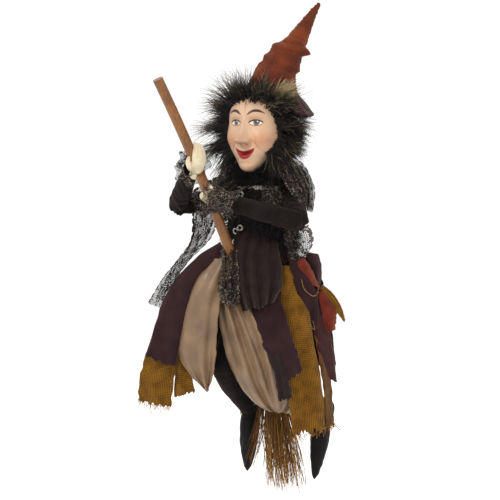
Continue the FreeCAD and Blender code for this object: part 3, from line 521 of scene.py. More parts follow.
def face_shape(x, z, front):
    """How far the face stands out from the plain egg, in mm, at (x, z)."""
    side = np.abs(x)
    out = 1.6 * bell(z, 73, 5) * bell(side, 12, 12)
    out -= 3.6 * bell(side, EYE_OUT, 7.5) * bell(z, 62, 5.5)
    out += 2.9 * bell(side, EYE_OUT, 6.0) * bell(z, 61.6, 3.7)
    ridge = np.clip((70 - z) / 27, 0, 1)
    out += (2.2 + 12.0 * ridge ** 1.4) * bell(x, 0, 2.9 + 2.2 * ridge) * (z > 38) * np.clip((z - 36.5) / 3.5, 0, 1) \
        * np.clip((74 - z) / 8, 0, 1)
    out += 6.4 * bell(x, 0, 6.0) * bell(z, 42.5, 4.6)
    out += 4.6 * bell(side, 7.4, 3.2) * bell(z, 41, 3.2)
    out -= 1.6 * bell(side, 3.4, 1.7) * bell(z, 36.6, 1.5)
    out += 4.4 * bell(side, 21, 8.5) * bell(z, 44, 8)
    crease = smile_crease(z)
    out -= 1.3 * bell(side, crease, 2.2) * np.clip((z - 26) / 8, 0, 1) * np.clip((46 - z) / 6, 0, 1)
    lip = mouth_line(x)
    open_mouth = np.clip(1 - (side / 12.5) ** 2, 0, 1)
    out += 1.5 * bell(z, lip + 1.8, 1.7) * bell(side, 0, 11)
    out += 1.9 * bell(z, lip - 5.4, 2.2) * bell(side, 0, 8)
    out -= 2.2 * bell(z, lip - 1.5, 1.5) * open_mouth
    out -= 1.3 * bell(z, 14.8, 1.8) * bell(side, 0, 9)
    out += 2.6 * bell(x, 0, 8.5) * bell(z, 9.5, 5.5)
    return out * front


def smile_crease(z):
    """How far out the smile line lies at height z."""
    return 11.5 + 0.40 * (42 - z) + 0.012 * (42 - z) ** 2


def mouth_line(x):
    return 27.5 + 4.2 * (np.abs(x) / 11.5) ** 2


def head_place(s, t):
    turn = 2 * s - 1
    angle = pi * turn * (0.42 + 0.58 * np.abs(turn))
    lift = pi * (t - 0.5)
    z = HEAD_MIDDLE + HEAD_HALF * np.sin(lift)
    round_off = np.cos(lift) ** 0.8
    wide = np.interp(z, *zip(*WIDTHS)) * round_off
    deep = np.interp(z, *zip(*DEPTHS)) * round_off
    x, y = wide * np.sin(angle), np.interp(z, *zip(*MIDDLES)) - deep * np.cos(angle)
    front = np.clip(np.cos(angle) * 1.5, 0, 1) ** 0.8
    out = face_shape(x, z, front)
    slope = 0.25 * np.sin(angle)
    return np.c_[x + out * slope, y - out, z]


def almond(x, z, middle, half_wide, up, down):
    """Above 0 inside an eye opening with that middle."""
    across = np.clip(1 - ((x - middle) / half_wide) ** 2, 0, 1)
    top, foot = 61.8 + up * across ** 0.7, 61.8 - down * across ** 0.7
    return np.where(np.abs(x - middle) < half_wide + 0.2, np.minimum(top - z, z - foot), -9)


def soft(value, width):
    return np.clip(value / width + 0.5, 0, 1)


def paint_head(mesh):
    """Skin, cheeks, eyes, brows and mouth as a colour at every vertex, with painted shade in the face's creases,
    nostrils and hollows and painted highlights on the eyes and lower lip.
    """
    spots = np.zeros(len(mesh.vertices) * 3, np.float32)
    mesh.vertices.foreach_get("co", spots)
    spots = spots.reshape(-1, 3) / MM - EYE_TO_CENTRE
    x, y, z = spots.T
    side, front = np.abs(x), y < -24

    colour = np.tile(tone("#cba98c")[:3], (len(x), 1))

    def lay(share, code):
        share = (np.clip(share, 0, 1) * front)[:, None]
        colour[:] = colour * (1 - share) + np.array(tone(code)[:3]) * share

    lay(0.55 * bell(side, 22, 9) * bell(z, 43, 9), "#bf6f46")
    lay(0.35 * bell(x, 0, 6) * bell(z, 41, 5), "#bf7a52")
    # darker over the eye sockets under the brows: painted shade
    lay(0.30 * bell(side, EYE_OUT, 9) * bell(z, 66, 5), "#a8765a")
    # darker under the nose: painted shade
    lay(0.40 * bell(x, 0, 9) * bell(z, 34.5, 2.0), "#a8683f")
    # darker in the groove above the chin: painted shade
    lay(0.30 * bell(x, 0, 8) * bell(z, 15.5, 2.2), "#a8683f")
    # darker along the smile lines: painted shade in the creases
    crease = smile_crease(z)
    lay(0.35 * bell(side, crease, 1.6) * np.clip((z - 27) / 6, 0, 1) * np.clip((45 - z) / 4, 0, 1), "#a4603c")
    # the nostrils darkened: painted shade
    lay(0.8 * bell(side, 3.6, 1.4) * bell(z, 37.4, 1.1), "#6a3524")
    # darker beside the nose wings: painted shade in the creases there
    lay(0.4 * bell(side, 9.6, 1.3) * bell(z, 41, 3.2), "#a8683f")
    for middle in (-EYE_OUT, EYE_OUT):
        opening = almond(x, z, middle, 7.2, 3.4, 2.4)
        lay(soft(opening + 0.9, 0.9) * 0.75, "#8a5138")
        lay(soft(opening, 0.5), "#ddd3c4")
        iris = np.hypot(x - middle - 0.8, (z - 63.0) * 0.96)
        lay(soft(3.5 - iris, 0.6) * soft(opening, 0.5), "#4d4250")
        lay(soft(2.7 - iris, 0.6) * soft(opening, 0.5), "#6c6470")
        lay(soft(1.5 - iris, 0.5) * soft(opening, 0.5), "#0d0a0c")
        # a white spot in each eye: a painted highlight
        glint = np.hypot(x - middle - 1.9, z - 64.0)
        lay(soft(0.75 - glint, 0.4), "#ffffff")
        across = np.clip(1 - ((x - middle) / 8.4) ** 2, 0, 1)
        lash = 61.9 + 3.6 * across ** 0.7
        lay(soft(0.95 - np.abs(z - lash), 0.5) * (np.abs(x - middle) < 8.0), "#22120f")
        # a darker line in the lid crease above each eye: painted shade
        lay(0.45 * soft(0.5 - np.abs(z - lash - 2.6), 0.6) * (np.abs(x - middle) < 6.8), "#8a5138")
        lower = 61.6 - 2.4 * across ** 0.7
        lay(0.6 * soft(0.35 - np.abs(z - lower), 0.5) * (np.abs(x - middle) < 7.2), "#5a3226")
        outward = (x - middle) * np.sign(middle)
        brow = 72.2 + 4.4 * np.clip(1 - ((outward - 1.0) / 10) ** 2, -0.6, 1)
        thick = np.interp(outward, (-9, -6, 4, 10), (0.5, 1.7, 1.5, 0.4))
        lay(soft(thick - np.abs(z - brow), 0.5) * (np.abs(outward) < 9.8), "#3a1f16")
    lip = mouth_line(x)
    share = np.clip(1 - (side / 13.0) ** 2, 0, 1)
    upper = lip + 1.9 * share ** 0.8 - 0.5 * bell(x, 0, 1.6)
    under = lip - 8.4 * share ** 0.6 + 0.4
    inside = np.minimum(upper - z, z - under)
    lay(soft(inside, 0.6), "#9a1218")
    parting = np.minimum(lip + 0.3 - z, z - (lip - 3.2 * share))
    lay(0.6 * soft(parting, 0.5) * (side < 9.5), "#5a070d")
    # a lighter spot in the middle of the lower lip: a painted highlight
    lay(0.35 * bell(z, lip - 5.6, 0.9) * bell(x, 1, 3.5), "#d8595a")
    layer = mesh.color_attributes.new("paint", "FLOAT_COLOR", "POINT")
    layer.data.foreach_set("color", np.c_[colour, np.ones(len(x))].astype(np.float32).ravel())


head = surface("painted_head", 330, 250, head_place, SKIN, (220, 140), closed=True)
paint_head(head.data)
finish_piece(head, "painted_skin", "head", "head_shell")

neck = tube("painted_neck", 48, 20, [(0, 0, -3, 12, 12), (0, -1, 6, 11.5, 11.5), (0, -3, 15, 12, 12),
                                     (0, -5, 22, 12, 12)], CREAM)
finish_piece(neck, "painted_skin", "head")


# ---- hair ---------------------------------------------------------------------------------
def cap_place(s, t):
    """The dark cloth that the hair is sewn to: an egg open in front of the face."""
    angle = radians(56) + radians(248) * s
    lift = pi / 2 - radians(116) * (1 - t) * 0.98
    wide, deep, tall = 42, 33, 40
    ring = np.cos(lift)
    x = -1 + wide * ring * np.sin(angle)
    y = -5 - deep * ring * np.cos(angle)
    z = 66 + tall * np.sin(lift)
    return np.c_[x, y, z] + 1.2 * unit(np.c_[x, y, z - 66]) * waves(np.c_[x, y, z], 12, 4)[:, None]


cap = surface("hair_cap", 70, 50, cap_place, BLACK_FUR, (200, 90), solid=1.5)
finish_piece(cap, "long_fur", "head")


def hair_paths(count, seed):
    """Roots round the hairline and over the crown, each combed outwards and a little down."""
    draw = np.random.default_rng(seed)
    paths, radii, shades = [], [], []
    for index in range(count):
        if index < count * 0.7:
            turn = radians(draw.uniform(-142, 142))
            x, z = sin(turn), cos(turn)
            depth = draw.uniform(0, 1)
            root = np.array(((31.5 + 7 * depth) * x, -37 + 14 * abs(x) ** 1.6 + 15 * depth,
                             52.5 + (30 + 9 * depth) * z))
            way = np.array((x, draw.uniform(-0.55, 0.2) * (1 - 0.5 * depth), z * 0.95 + 0.05))
            long = draw.uniform(21, 38) * (1 + 0.2 * max(z, 0)) * (0.85 if depth > 0.6 else 1)
            long *= 1.12 if x < 0 else 1
        else:
            turn, lift = draw.uniform(0, tau), radians(draw.uniform(-32, 66))
            x, y, z = cos(lift) * sin(turn), -cos(lift) * cos(turn), sin(lift)
            if y < -0.45 and z < 0.62:
                y = abs(y)
            root = np.array((-1 + 42 * x, -5 + 34 * y, 64 + 40 * z))
            way = np.array((x, y, z * 0.6 - 0.1))
            long = draw.uniform(15, 26)
        lock = 0.16 * np.sin(np.array((5.1, 7.3, 6.2)) * turn * 2 + (0, 1, 2))
        way = unit(way + lock + draw.normal(0, 0.14, 3))
        bend = lock * 1.1 + draw.normal(0, 0.1, 3) + np.array((0, 0, -0.26))
        steps = np.linspace(0, 1, 6)[:, None]
        path = combed(root, way, long, bend, steps)
        paths.append(path)
        radii.append(draw.uniform(0.32, 0.62))
        # fair-tipped strands: the fur's own frosting, given more often over the top and on her right side, where the
        # key light falls, as a painted highlight
        light = draw.random() < (0.30 if path[-1][0] < -12 or z > 0.75 else 0.16)
        shades.append(draw.uniform(0.75, 1.02) if light else draw.uniform(0.1, 0.6))
    return paths, radii, shades


wig = strands("fur_hair", *hair_paths(4700, 8), FUR, taper=0.12)
finish_piece(wig, "long_fur", "head", "fur_wig")


def nape_paths(count, seed):
    """Down the back of the head and over the nape."""
    draw = np.random.default_rng(seed)
    paths, radii, shades = [], [], []
    for _ in range(count):
        turn, lift = radians(draw.uniform(62, 298)), radians(draw.uniform(-66, 20))
        x, y, z = cos(lift) * sin(turn), -cos(lift) * cos(turn), sin(lift)
        root = np.array((-1 + 34 * x, 2 + 30 * y, 58 + 36 * z))
        way = unit(np.array((x, y, -0.75)) + draw.normal(0, 0.16, 3))
        steps = np.linspace(0, 1, 5)[:, None]
        long = draw.uniform(16, 28)
        paths.append(combed(root, way, long, draw.normal(0, 0.13, 3), steps))
        radii.append(draw.uniform(0.4, 0.75))
        shades.append(draw.uniform(0.7, 0.95) if draw.random() < 0.12 else draw.uniform(0.1, 0.6))
    return paths, radii, shades


nape = strands("nape_hair", *nape_paths(3200, 18), FUR, taper=0.12)
finish_piece(nape, "long_fur", "head")


def tuft_paths():
    """The fair tuft that lies up over the front of the hat."""
    draw = np.random.default_rng(21)
    paths, radii, shades = [], [], []
    for index in range(300):
        base = turned((draw.normal(22, 6), draw.uniform(22, 31), draw.uniform(84, 98)))
        way = unit(np.array((draw.normal(0.42, 0.3), draw.normal(-0.25, 0.25), draw.uniform(0.55, 1.1))))
        long = draw.uniform(10, 27)
        steps = np.linspace(0, 1, 6)[:, None]
        bend = np.array((draw.normal(0, 0.25), 0.55, -0.15))
        paths.append(combed(base, way, long, bend, steps))
        radii.append(draw.uniform(0.2, 0.42))
        shades.append(draw.uniform(0.95, 1.25) if index % 3 else draw.uniform(0.2, 0.6))
    return paths, radii, shades


tuft = strands("fair_tuft", *tuft_paths(), hair("fair_tuft_finish", "#2a2218", "#94805a", "#d0c096"))
finish_piece(tuft, "long_fur", "head")


# ---- hat ----------------------------------------------------------------------------------
HAT = ((8, -2, 84, 34, 32), (11, -4, 96, 31.5, 30), (15, -6, 114, 27.5, 26), (21, -9, 128, 23, 22),
       (29.5, -12, 142, 19.8, 19), (37, -14, 151, 17.8, 17), (41, -18, 158, 13.4, 13.4), (45, -22, 166, 11.4, 11.4),
       (52.5, -29, 179, 8.4, 8.4), (60.5, -36, 193, 5.4, 5.4), (67, -40, 203, 3.2, 3.2),
       (69.5, -41.5, 207.5, 1.2, 1.2))


def hat_shape(spot, s, t):
    flat = spot @ np.stack((ACROSS, TOWARDS, UP)).T
    u, w, z = flat.T
    out = 0.9 * waves(spot, 24, 11) * np.clip((190 - z) / 60, 0.15, 1)
    out += 0.5 * waves(spot * (1, 1, 2.5), 9, 12)
    out -= 1.7 * bell(z + 0.25 * (u - 38), 157, 2.6)
    out += 2.4 * bell(z + 0.2 * (u - 38), 150, 3.6)
    out += 2.8 * bell(z, 147, 4.5) * np.clip((u - 44) / 8, 0, 1)
    out -= 2.2 * bell(z, 139, 3.5) * np.clip((u - 38) / 8, 0, 1)
    out += 1.4 * bell(z + 0.45 * (u - 30), 131, 3.0) - 1.4 * bell(z + 0.45 * (u - 30), 124, 3.5)
    return out


hat_line = [(*turned(row[:3]), *row[3:]) for row in HAT]
hat = tube("suede_hat", 110, 150, hat_line, SUEDE, shape=hat_shape)
finish_piece(hat, "rust_suede", "head", "hat_cone")


def brim_place(s, t):
    angle = radians(62) + radians(236) * s
    reach = 29 + 20 * t
    x, y = 8 + reach * np.sin(angle), 12 - reach * np.cos(angle)
    z = 98 - 27 * t + 2.0 * np.sin(angle * 6 + 1) * t + 1.2 * waves(np.c_[x, y, x * 0], 14, 6)
    return np.c_[x, y, z]


brim = surface("hat_brim_cloth", 150, 26, brim_place, MAROON, (190, 26), solid=1.0)
finish_piece(brim, "rust_suede", "head", "hat_brim")


# ---- trunk --------------------------------------------------------------------------------
def oval_place(wide, deep, low, high, ripple, seed):
    """An upright oval skin whose half sizes are rows of (height, size)."""
    def place(s, t):
        z = low + (high - low) * t
        angle = tau * s
        a, b = np.interp(z, *zip(*wide)), np.interp(z, *zip(*deep))
        x, y = a * np.sin(angle), -b * np.cos(angle)
        spot = np.c_[x, y, z]
        return spot + unit(np.c_[x, y, z * 0]) * (ripple * waves(spot, 11, seed))[:, None]
    return place


vest = surface("net_vest", 150, 100,
               oval_place(((-98, 42), (-60, 43), (-34, 45), (-20, 43), (-8, 30), (2, 13)),
                          ((-98, 34), (-60, 35), (-34, 35), (-20, 33), (-8, 24), (2, 13)), -98, 2, 1.3, 14),
               NET, (250, 110), closed=True)
finish_piece(vest, "dark_net", "torso", "vest")


def fuzz(count, seed, root, long, droop=-0.35):
    """Short hairs from root(draw), which gives a point and the way out from the cloth."""
    draw = np.random.default_rng(seed)
    paths, radii, shades = [], [], []
    steps = np.linspace(0, 1, 5)[:, None]
    for _ in range(count):
        base, way = root(draw)
        way = unit(np.asarray(way) + draw.normal(0, 0.35, 3))
        reach = draw.uniform(*long)
        bend = draw.normal(0, 0.25, 3) + np.array((0, 0, droop))
        paths.append(combed(np.asarray(base), way, reach, bend, steps))
        radii.append(draw.uniform(0.18, 0.42))
        shades.append(draw.uniform(0.2, 1.0))
    return paths, radii, shades


def collar_core_place(s, t):
    angle, round_it = tau * s, tau * t
    reach = 24 + 8 * np.cos(round_it)
    height = -8 + 6 * (1 - bell((angle + pi) % tau - pi, 0, 0.5)) + 9 * np.sin(round_it)
    return np.c_[reach * np.sin(angle), -reach * np.cos(angle) * 0.9, height]


def vest_root(draw):
    angle, z = draw.uniform(-pi, pi), draw.uniform(-94, -14)
    wide, deep = (43, 34) if z < -22 else (37, 29)
    return (wide * sin(angle), -deep * cos(angle), z), (sin(angle), -cos(angle), -0.5)


def collar_root(draw):
    angle, lift = draw.uniform(-pi, pi), radians(draw.uniform(-40, 80))
    reach = 24 + 8 * cos(lift)
    rise = 6 * (1 - bell(angle, 0, 0.5))
    return ((reach * sin(angle), -reach * cos(angle) * 0.9, -8 + rise + 9 * sin(lift)),
            (0.8 * sin(angle) * cos(lift), -0.8 * cos(angle) * cos(lift), 0.3 + sin(lift) * 0.7))


bodice = strands("bodice_fuzz", *fuzz(2300, 5, vest_root, (6, 12)), BLACK_FUR)
finish_piece(bodice, "dark_net", "torso")
collar = strands("collar_hair", *fuzz(3600, 6, collar_root, (10, 19), droop=-0.15), BLACK_FUR)
collar_core = surface("collar_core", 90, 24, collar_core_place, NET, (170, 60), closed=True)
finish_piece(collar_core, "dark_net", "torso")
finish_piece(collar, "dark_net", "torso", "fur_collar")


# ---- lace ---------------------------------------------------------------------------------
def lace(cell=0.8, seed=0, scallops=10.0, edges=(True, True)):
    """keep(i, j) for a lace of diamond net, five-petalled flowers and a scalloped border."""
    def pattern(columns, rows):
        def keep(i, j):
            net = ((i + j) % 3 == 0) | ((i - j) % 3 == 0)
            x, y = i * cell, j * cell
            pitch = 17.0
            row = np.floor(y / pitch)
            dx = (x + (row % 2) * pitch / 2 + seed) % pitch - pitch / 2
            dy = y % pitch - pitch / 2
            reach, angle = np.hypot(dx, dy), np.arctan2(dy, dx)
            petal = 4.4 + 2.6 * np.cos(5 * angle + row)
            flower = ((reach < petal) & (reach > petal - 1.7)) | (reach < 1.5) | \
                     ((reach < petal) & (np.abs(np.sin(2.5 * angle + row / 2)) < 0.18))
            leaf = (np.abs(dx + dy * 0.6) < 0.9) & (reach > petal) & (reach < 9)
            stays = net | flower | leaf
            for at_edge, far in ((edges[0], i * cell), (edges[1], (columns - 1 - i) * cell)):
                if at_edge:
                    rim = 2.6 + 1.9 * np.abs(np.sin(pi * y / scallops))
                    lobe = 2.2 - 2.2 * np.abs(np.sin(pi * y / scallops))
                    stays |= (far > lobe) & (far < rim)
                    stays &= far >= lobe
            return stays
        return keep
    return pattern


def lace_piece(name, place, span, seed, edges=(True, True), cell=0.8, scallops=10.0):
    columns, rows = max(8, round(span[0] / cell)), max(8, round(span[1] / cell))
    return surface(name, columns, rows, place, SPARKLE, span, keep=lace(cell, seed, scallops, edges)(columns, rows))


def hanging(left, right, bulge=5, folds=3, depth=3, seed=1):
    """place() for lace that hangs between two edges."""
    left, right = np.asarray(left, float), np.asarray(right, float)

    def place(s, t):
        down = 1 - t
        a, b = spline(left, down), spline(right, down)
        spot = a * (1 - s)[:, None] + b * s[:, None]
        spot[:, 1] += bulge * np.sin(pi * s) + depth * np.sin(tau * folds * s + seed + 2 * down)
        spot[:, 1] += 1.2 * waves(spot, 18, seed)
        return turned(spot)
    return place


def shawl_place(s, t):
    """Over both shoulders, open down the front."""
    angle = radians(24) + radians(312) * s
    down = 1 - t
    side = np.abs(np.sin(angle))
    reach = 20 + 33 * down ** 0.62
    x = np.sin(angle) * reach * (1 + 0.08 * down)
    y = -np.cos(angle) * reach * (0.88 - 0.06 * down)
    drop = 1 + 10 * down + (42 + 5 * side) * down ** 2.1
    flare = (1.6 + 1.6 * down) * np.sin(angle * 9)
    spot = np.c_[x, y, 0 - drop]
    return spot + unit(np.c_[x, y, x * 0]) * (flare * down)[:, None]


shawl = lace_piece("lace_shawl_over", lambda s, t: shawl_place(t, s), (72, 250), 3, edges=(True, False))
finish_piece(shawl, "black_lace", "torso", "lace_shawl")
# name, body, CAD nodes it stands for, left edge, right edge, how it hangs, cloth size, pattern seed, pattern options
LACES = (
    ("lace_tail", "right_arm", ("shawl_tail",),
     [(-84, 12, -44), (-88, 10, -84), (-117, 4, -120), (-138, -4, -154)],
     [(-50, 20, -44), (-60, 18, -74), (-95, 12, -112), (-120, 4, -160)],
     dict(seed=2, depth=4), (44, 130), 5, dict()),
    ("lace_tail_under", "right_arm", (),
     [(-80, 4, -42), (-86, 2, -78), (-108, -4, -110), (-128, -8, -148)],
     [(-54, 12, -42), (-64, 10, -72), (-88, 4, -104), (-122, -2, -152)],
     dict(seed=6, depth=4), (36, 118), 9, dict()),
    ("lace_right_shoulder", "right_arm", (),
     [(-34, 4, 8), (-50, 0, 1), (-70, -4, -9), (-90, -4, -22)],
     [(-30, 22, -12), (-44, 12, -26), (-58, 4, -42), (-72, 0, -54)],
     dict(bulge=5, seed=8), (42, 84), 3, dict()),
    ("lace_left_shoulder", "torso", (),
     [(20, 40, 10), (24, 52, -6), (34, 62, -22), (44, 66, -38)],
     [(46, 6, 18), (56, 16, 4), (61, 26, -18), (60, 34, -44)],
     dict(bulge=6, seed=9), (62, 62), 7, dict()),
    ("lace_left_rim", "torso", (),
     [(34, 40, 12), (42, 48, -4), (50, 52, -20), (52, 52, -40)],
     [(47, 12, 14), (57, 22, 0), (63, 30, -18), (60, 36, -42)],
     dict(bulge=7, seed=5), (40, 60), 12, dict()),
    ("lace_corner", "torso", (),
     [(24, 42, -64), (25, 44, -78), (30, 46, -92), (34, 46, -100)],
     [(56, 26, -58), (62, 26, -72), (60, 28, -84), (52, 32, -96)],
     dict(bulge=8, seed=4), (34, 44), 2, dict()),
    ("apron_lace", "torso", (),
     [(-50, 36, -86), (-52, 46, -112), (-53, 50, -134), (-48, 54, -150)],
     [(-28, 44, -86), (-26, 58, -112), (-24, 65, -134), (-26, 68, -150)],
     dict(bulge=4, seed=3), (24, 62), 12, dict(cell=0.7, scallops=8)),
)
for name, body, nodes, left, right, hang, span, seed, pattern in LACES:
    finish_piece(lace_piece(name, hanging(left, right, **hang), span, seed, **pattern), "black_lace", body, *nodes)


def ruffle(middle, way, inner, outer, length, waves_round, seed):
    """place() for a gathered cuff round a wrist: a flaring tube with ruffled rim."""
    way = unit(np.asarray(way, float))
    side = unit(np.cross(way, (0, 0, 1)))
    front = np.cross(side, way)

    def place(s, t):
        angle = tau * s
        flare = t ** 0.8
        reach = inner + (outer - inner) * flare
        reach = reach + flare * 2.4 * np.sin(waves_round * angle + seed) + 0.6 * np.sin(3 * angle + seed)
        along = length * t + 1.6 * flare * np.cos(waves_round * angle + seed)
        ring = side * np.cos(angle)[:, None] + front * np.sin(angle)[:, None]
        return np.asarray(middle, float) + way * along[:, None] + ring * reach[:, None]
    return place


# ---- arms ---------------------------------------------------------------------------------
SHOULDER = {"right": (-38, 0, -25), "left": (38, 0, -25)}
ELBOW = {"right": (-96, -37.5, -37), "left": (79, -51, -52)}
GRIP = {"right": (-31.4, -103.2, 20), "left": (-22.5, -82.1, -25)}


def arm_line(side):
    shoulder, elbow, grip = (np.array(spot[side], float) for spot in (SHOULDER, ELBOW, GRIP))
    lower = grip - elbow
    wrist = grip - unit(lower) * 15
    near, past = elbow + 0.16 * (shoulder - elbow), elbow + 0.14 * (wrist - elbow)
    start = shoulder * (0.8, 1, 1)
    rows = [(*start, 12.5, 12.5), (*shoulder, 13.4, 13.4), (*(0.5 * shoulder + 0.5 * elbow), 12.2, 12.2),
            (*near, 12.0, 12.6), (*(0.55 * elbow + 0.225 * (near + past)), 12.4, 13.0), (*past, 11.6, 12.4),
            (*(0.5 * elbow + 0.5 * wrist), 10.6, 11.2), (*wrist, 8.8, 9.2)]
    return rows, wrist, unit(lower)


def sleeve_shape(seed):
    def shape(spot, s, t):
        elbow = bell(t, 0.56, 0.16)
        out = (0.7 + 1.0 * elbow) * waves(spot, 13, seed)
        return out - 1.1 * elbow * np.abs(np.sin(42 * t + 3 * np.sin(tau * s)))
    return shape


# palm and thumb of each hand: (u, w, z, half width, half depth)
MITTS = {"right": ([(-80, 62, 0, 6.2, 6.0), (-76, 72, 9, 7.2, 6.6), (-73.5, 79, 19, 8.2, 7.0),
                    (-74, 80, 29, 7.4, 6.0), (-77, 77, 36, 4.8, 4.2), (-79, 74, 39, 1.2, 1.2)],
                   [(-80, 70, 7, 3.6, 3.6), (-84, 77, 11, 3.6, 3.4), (-86, 79, 18, 3.0, 3.0),
                    (-84, 79, 24, 1.3, 1.3)]),
         "left": ([(-42, 62, -30, 6.4, 6.2), (-50, 66, -28, 7.6, 6.6), (-60, 68, -25, 8.0, 6.4),
                   (-68, 64, -23, 6.0, 5.0), (-72, 58, -22, 1.5, 1.5)],
                  [(-54, 66, -20, 3.6, 3.6), (-60, 68, -13, 3.6, 3.4), (-64, 66, -9, 1.4, 1.4)])}


def finger_grooves(spot, s, t):
    """Three shallow grooves between four fingers, on the far half of the hand."""
    on_fingers = np.clip((t - 0.38) * 6, 0, 1)
    return -1.2 * on_fingers * bell(np.abs(((s * 8 + 0.5) % 1) - 0.5), 0, 0.16) * (np.cos(tau * s) > 0.1)


def hand(side):
    palm, thumb = MITTS[side]
    parts = []
    for rows, shape in ((palm, finger_grooves), (thumb, None)):
        line = [(*turned(row[:3]), *row[3:]) for row in rows]
        parts.append(tube("hand_part", 72, 60, line, CREAM, facing=-TOWARDS if side == "left" else TOWARDS,
                          shape=shape))
    return fused(side + "_hand_grip", parts, CREAM, 0.6, 3)


for side, seed in (("right", 3), ("left", 7)):
    rows, wrist, lower = arm_line(side)
    body = side + "_arm"
    sleeve = tube(side + "_sleeve_cloth", 64, 130, rows, JERSEY, facing=(0, 0, 1), shape=sleeve_shape(seed))
    finish_piece(sleeve, "black_jersey", body, side + "_sleeve")
    fist = hand(side)
    finish_piece(fist, "cream_skin", body, side + "_hand")
    long = 16 if side == "right" else 27
    # name, back from the wrist, way, inner and outer reach, length, ripples, ripple seed, cloth size, pattern seed,
    # cell
    for part, back, way, inner, outer, length, ripples, ripple_seed, cut, pattern_seed, cell in (
            ("_cuff", 6, lower, 9.8, 19, long, 7, seed, (120, long * 1.5), seed, 0.6),
            ("_cuff_back", 3, -lower, 10.6, 17, 15, 6, seed + 2, (120, 22), seed + 1, 0.7),
            ("_cuff_over", 9, lower, 10.4, 15 if side == "right" else 17, long - 4, 5, seed + 4, (110, long * 1.3),
             seed + 3, 0.7)):
        gathered = ruffle(wrist - lower * back, way, inner, outer, length, ripples, ripple_seed)
        made = lace_piece(side + part, gathered, cut, pattern_seed, edges=(False, False), cell=cell)
        finish_piece(made, "black_lace", body)


# ---- broom --------------------------------------------------------------------------------
BUNDLE = ((6, 12, -236, 9, 9), (6.6, 15, -250, 8.5, 8.5), (7, 22, -272, 12, 13), (5.5, 33, -312, 17, 21),
          (4.5, 44, -352, 20, 26), (4, 52, -388, 21, 31))


def twig_paths(count, seed):
    draw = np.random.default_rng(seed)
    paths, radii, shades = [], [], []
    for index in range(count):
        angle, out = draw.uniform(0, tau), sqrt(draw.uniform(0.02, 1))
        end = draw.uniform(0.80, 1.0) if draw.random() < 0.8 else draw.uniform(0.55, 0.8)
        share = np.linspace(draw.uniform(0, 0.05), end, 9)
        rows = spline(BUNDLE, share)
        wander = draw.normal(0, 1, 2)
        drift = share[:, None] ** 2 * wander * (3.2 if index % 3 else 7.0)
        x = rows[:, 0] + rows[:, 3] * out * cos(angle) + drift[:, 0] + share * 1.6 * np.sin(share * 14 + index)
        y = rows[:, 1] + rows[:, 4] * out * sin(angle) + drift[:, 1] + share * 1.6 * np.cos(share * 11 + index)
        paths.append(np.c_[x, y, rows[:, 2]])
        radii.append(draw.uniform(0.35, 0.8))
        shades.append(draw.uniform(0.25, 1.1))
    for index in range(60):
        start = np.array((draw.uniform(-2, 12), draw.uniform(2, 14), draw.uniform(-262, -244)))
        way = np.array((draw.normal(-0.1, 0.09), draw.normal(0, 0.06), -1))
        steps = np.linspace(0, draw.uniform(45, 105), 9)[:, None]
        side = draw.normal(0, 0.0011, 2)
        paths.append(turned(start + way * steps + steps ** 2 * np.array((*side, 0))))
        radii.append(draw.uniform(0.3, 0.6))
        shades.append(draw.uniform(0.1, 0.9))
    return paths, radii, shades


twigs = strands("broom_straw", *twig_paths(330, 17), TWIG, taper=0.45)
finish_piece(twigs, "twig", "right_arm", "broom_twigs")


def winding(count, middle, way, reach, pitch):
    """Turns of twine round a bundle, as one path."""
    way = unit(np.asarray(way, float))
    side = unit(np.cross(way, (1, 0, 0)))
    front = np.cross(side, way)
    angle = np.linspace(0, tau * count, count * 22)
    along = (angle / tau - count / 2) * pitch
    return np.asarray(middle, float) + way * along[:, None] + reach * (side * np.cos(angle)[:, None]
                                                                      + front * np.sin(angle)[:, None])


binding = strands("broom_binding_twine", [winding(7, (6.4, 15, -250), (0.02, 0.33, -0.94), 10.2, 1.9)], [1.0], [0.7],
                  TWINE, taper=1, rings=2)
finish_piece(binding, "twine", "right_arm", "broom_binding")


# ---- legs ---------------------------------------------------------------------------------
KNEE = {"right": (-26, -43, -228), "left": (46, -8, -240)}
ANKLE = {"right": (-28, 20, -290), "left": (48.5, 68, -287)}
TOE = {"right": (-29, 15, -359), "left": (40, 60, -370)}
HIP = {"right": (-24, 0, -150), "left": (24, 0, -150)}
STUDS = {"right": ((-25, -26, -284), (-25, -26, -291)), "left": ((67, -27, -284), (67, -27, -291))}


def mixed(first, second, share):
    return np.asarray(first, float) * (1 - share) + np.asarray(second, float) * share


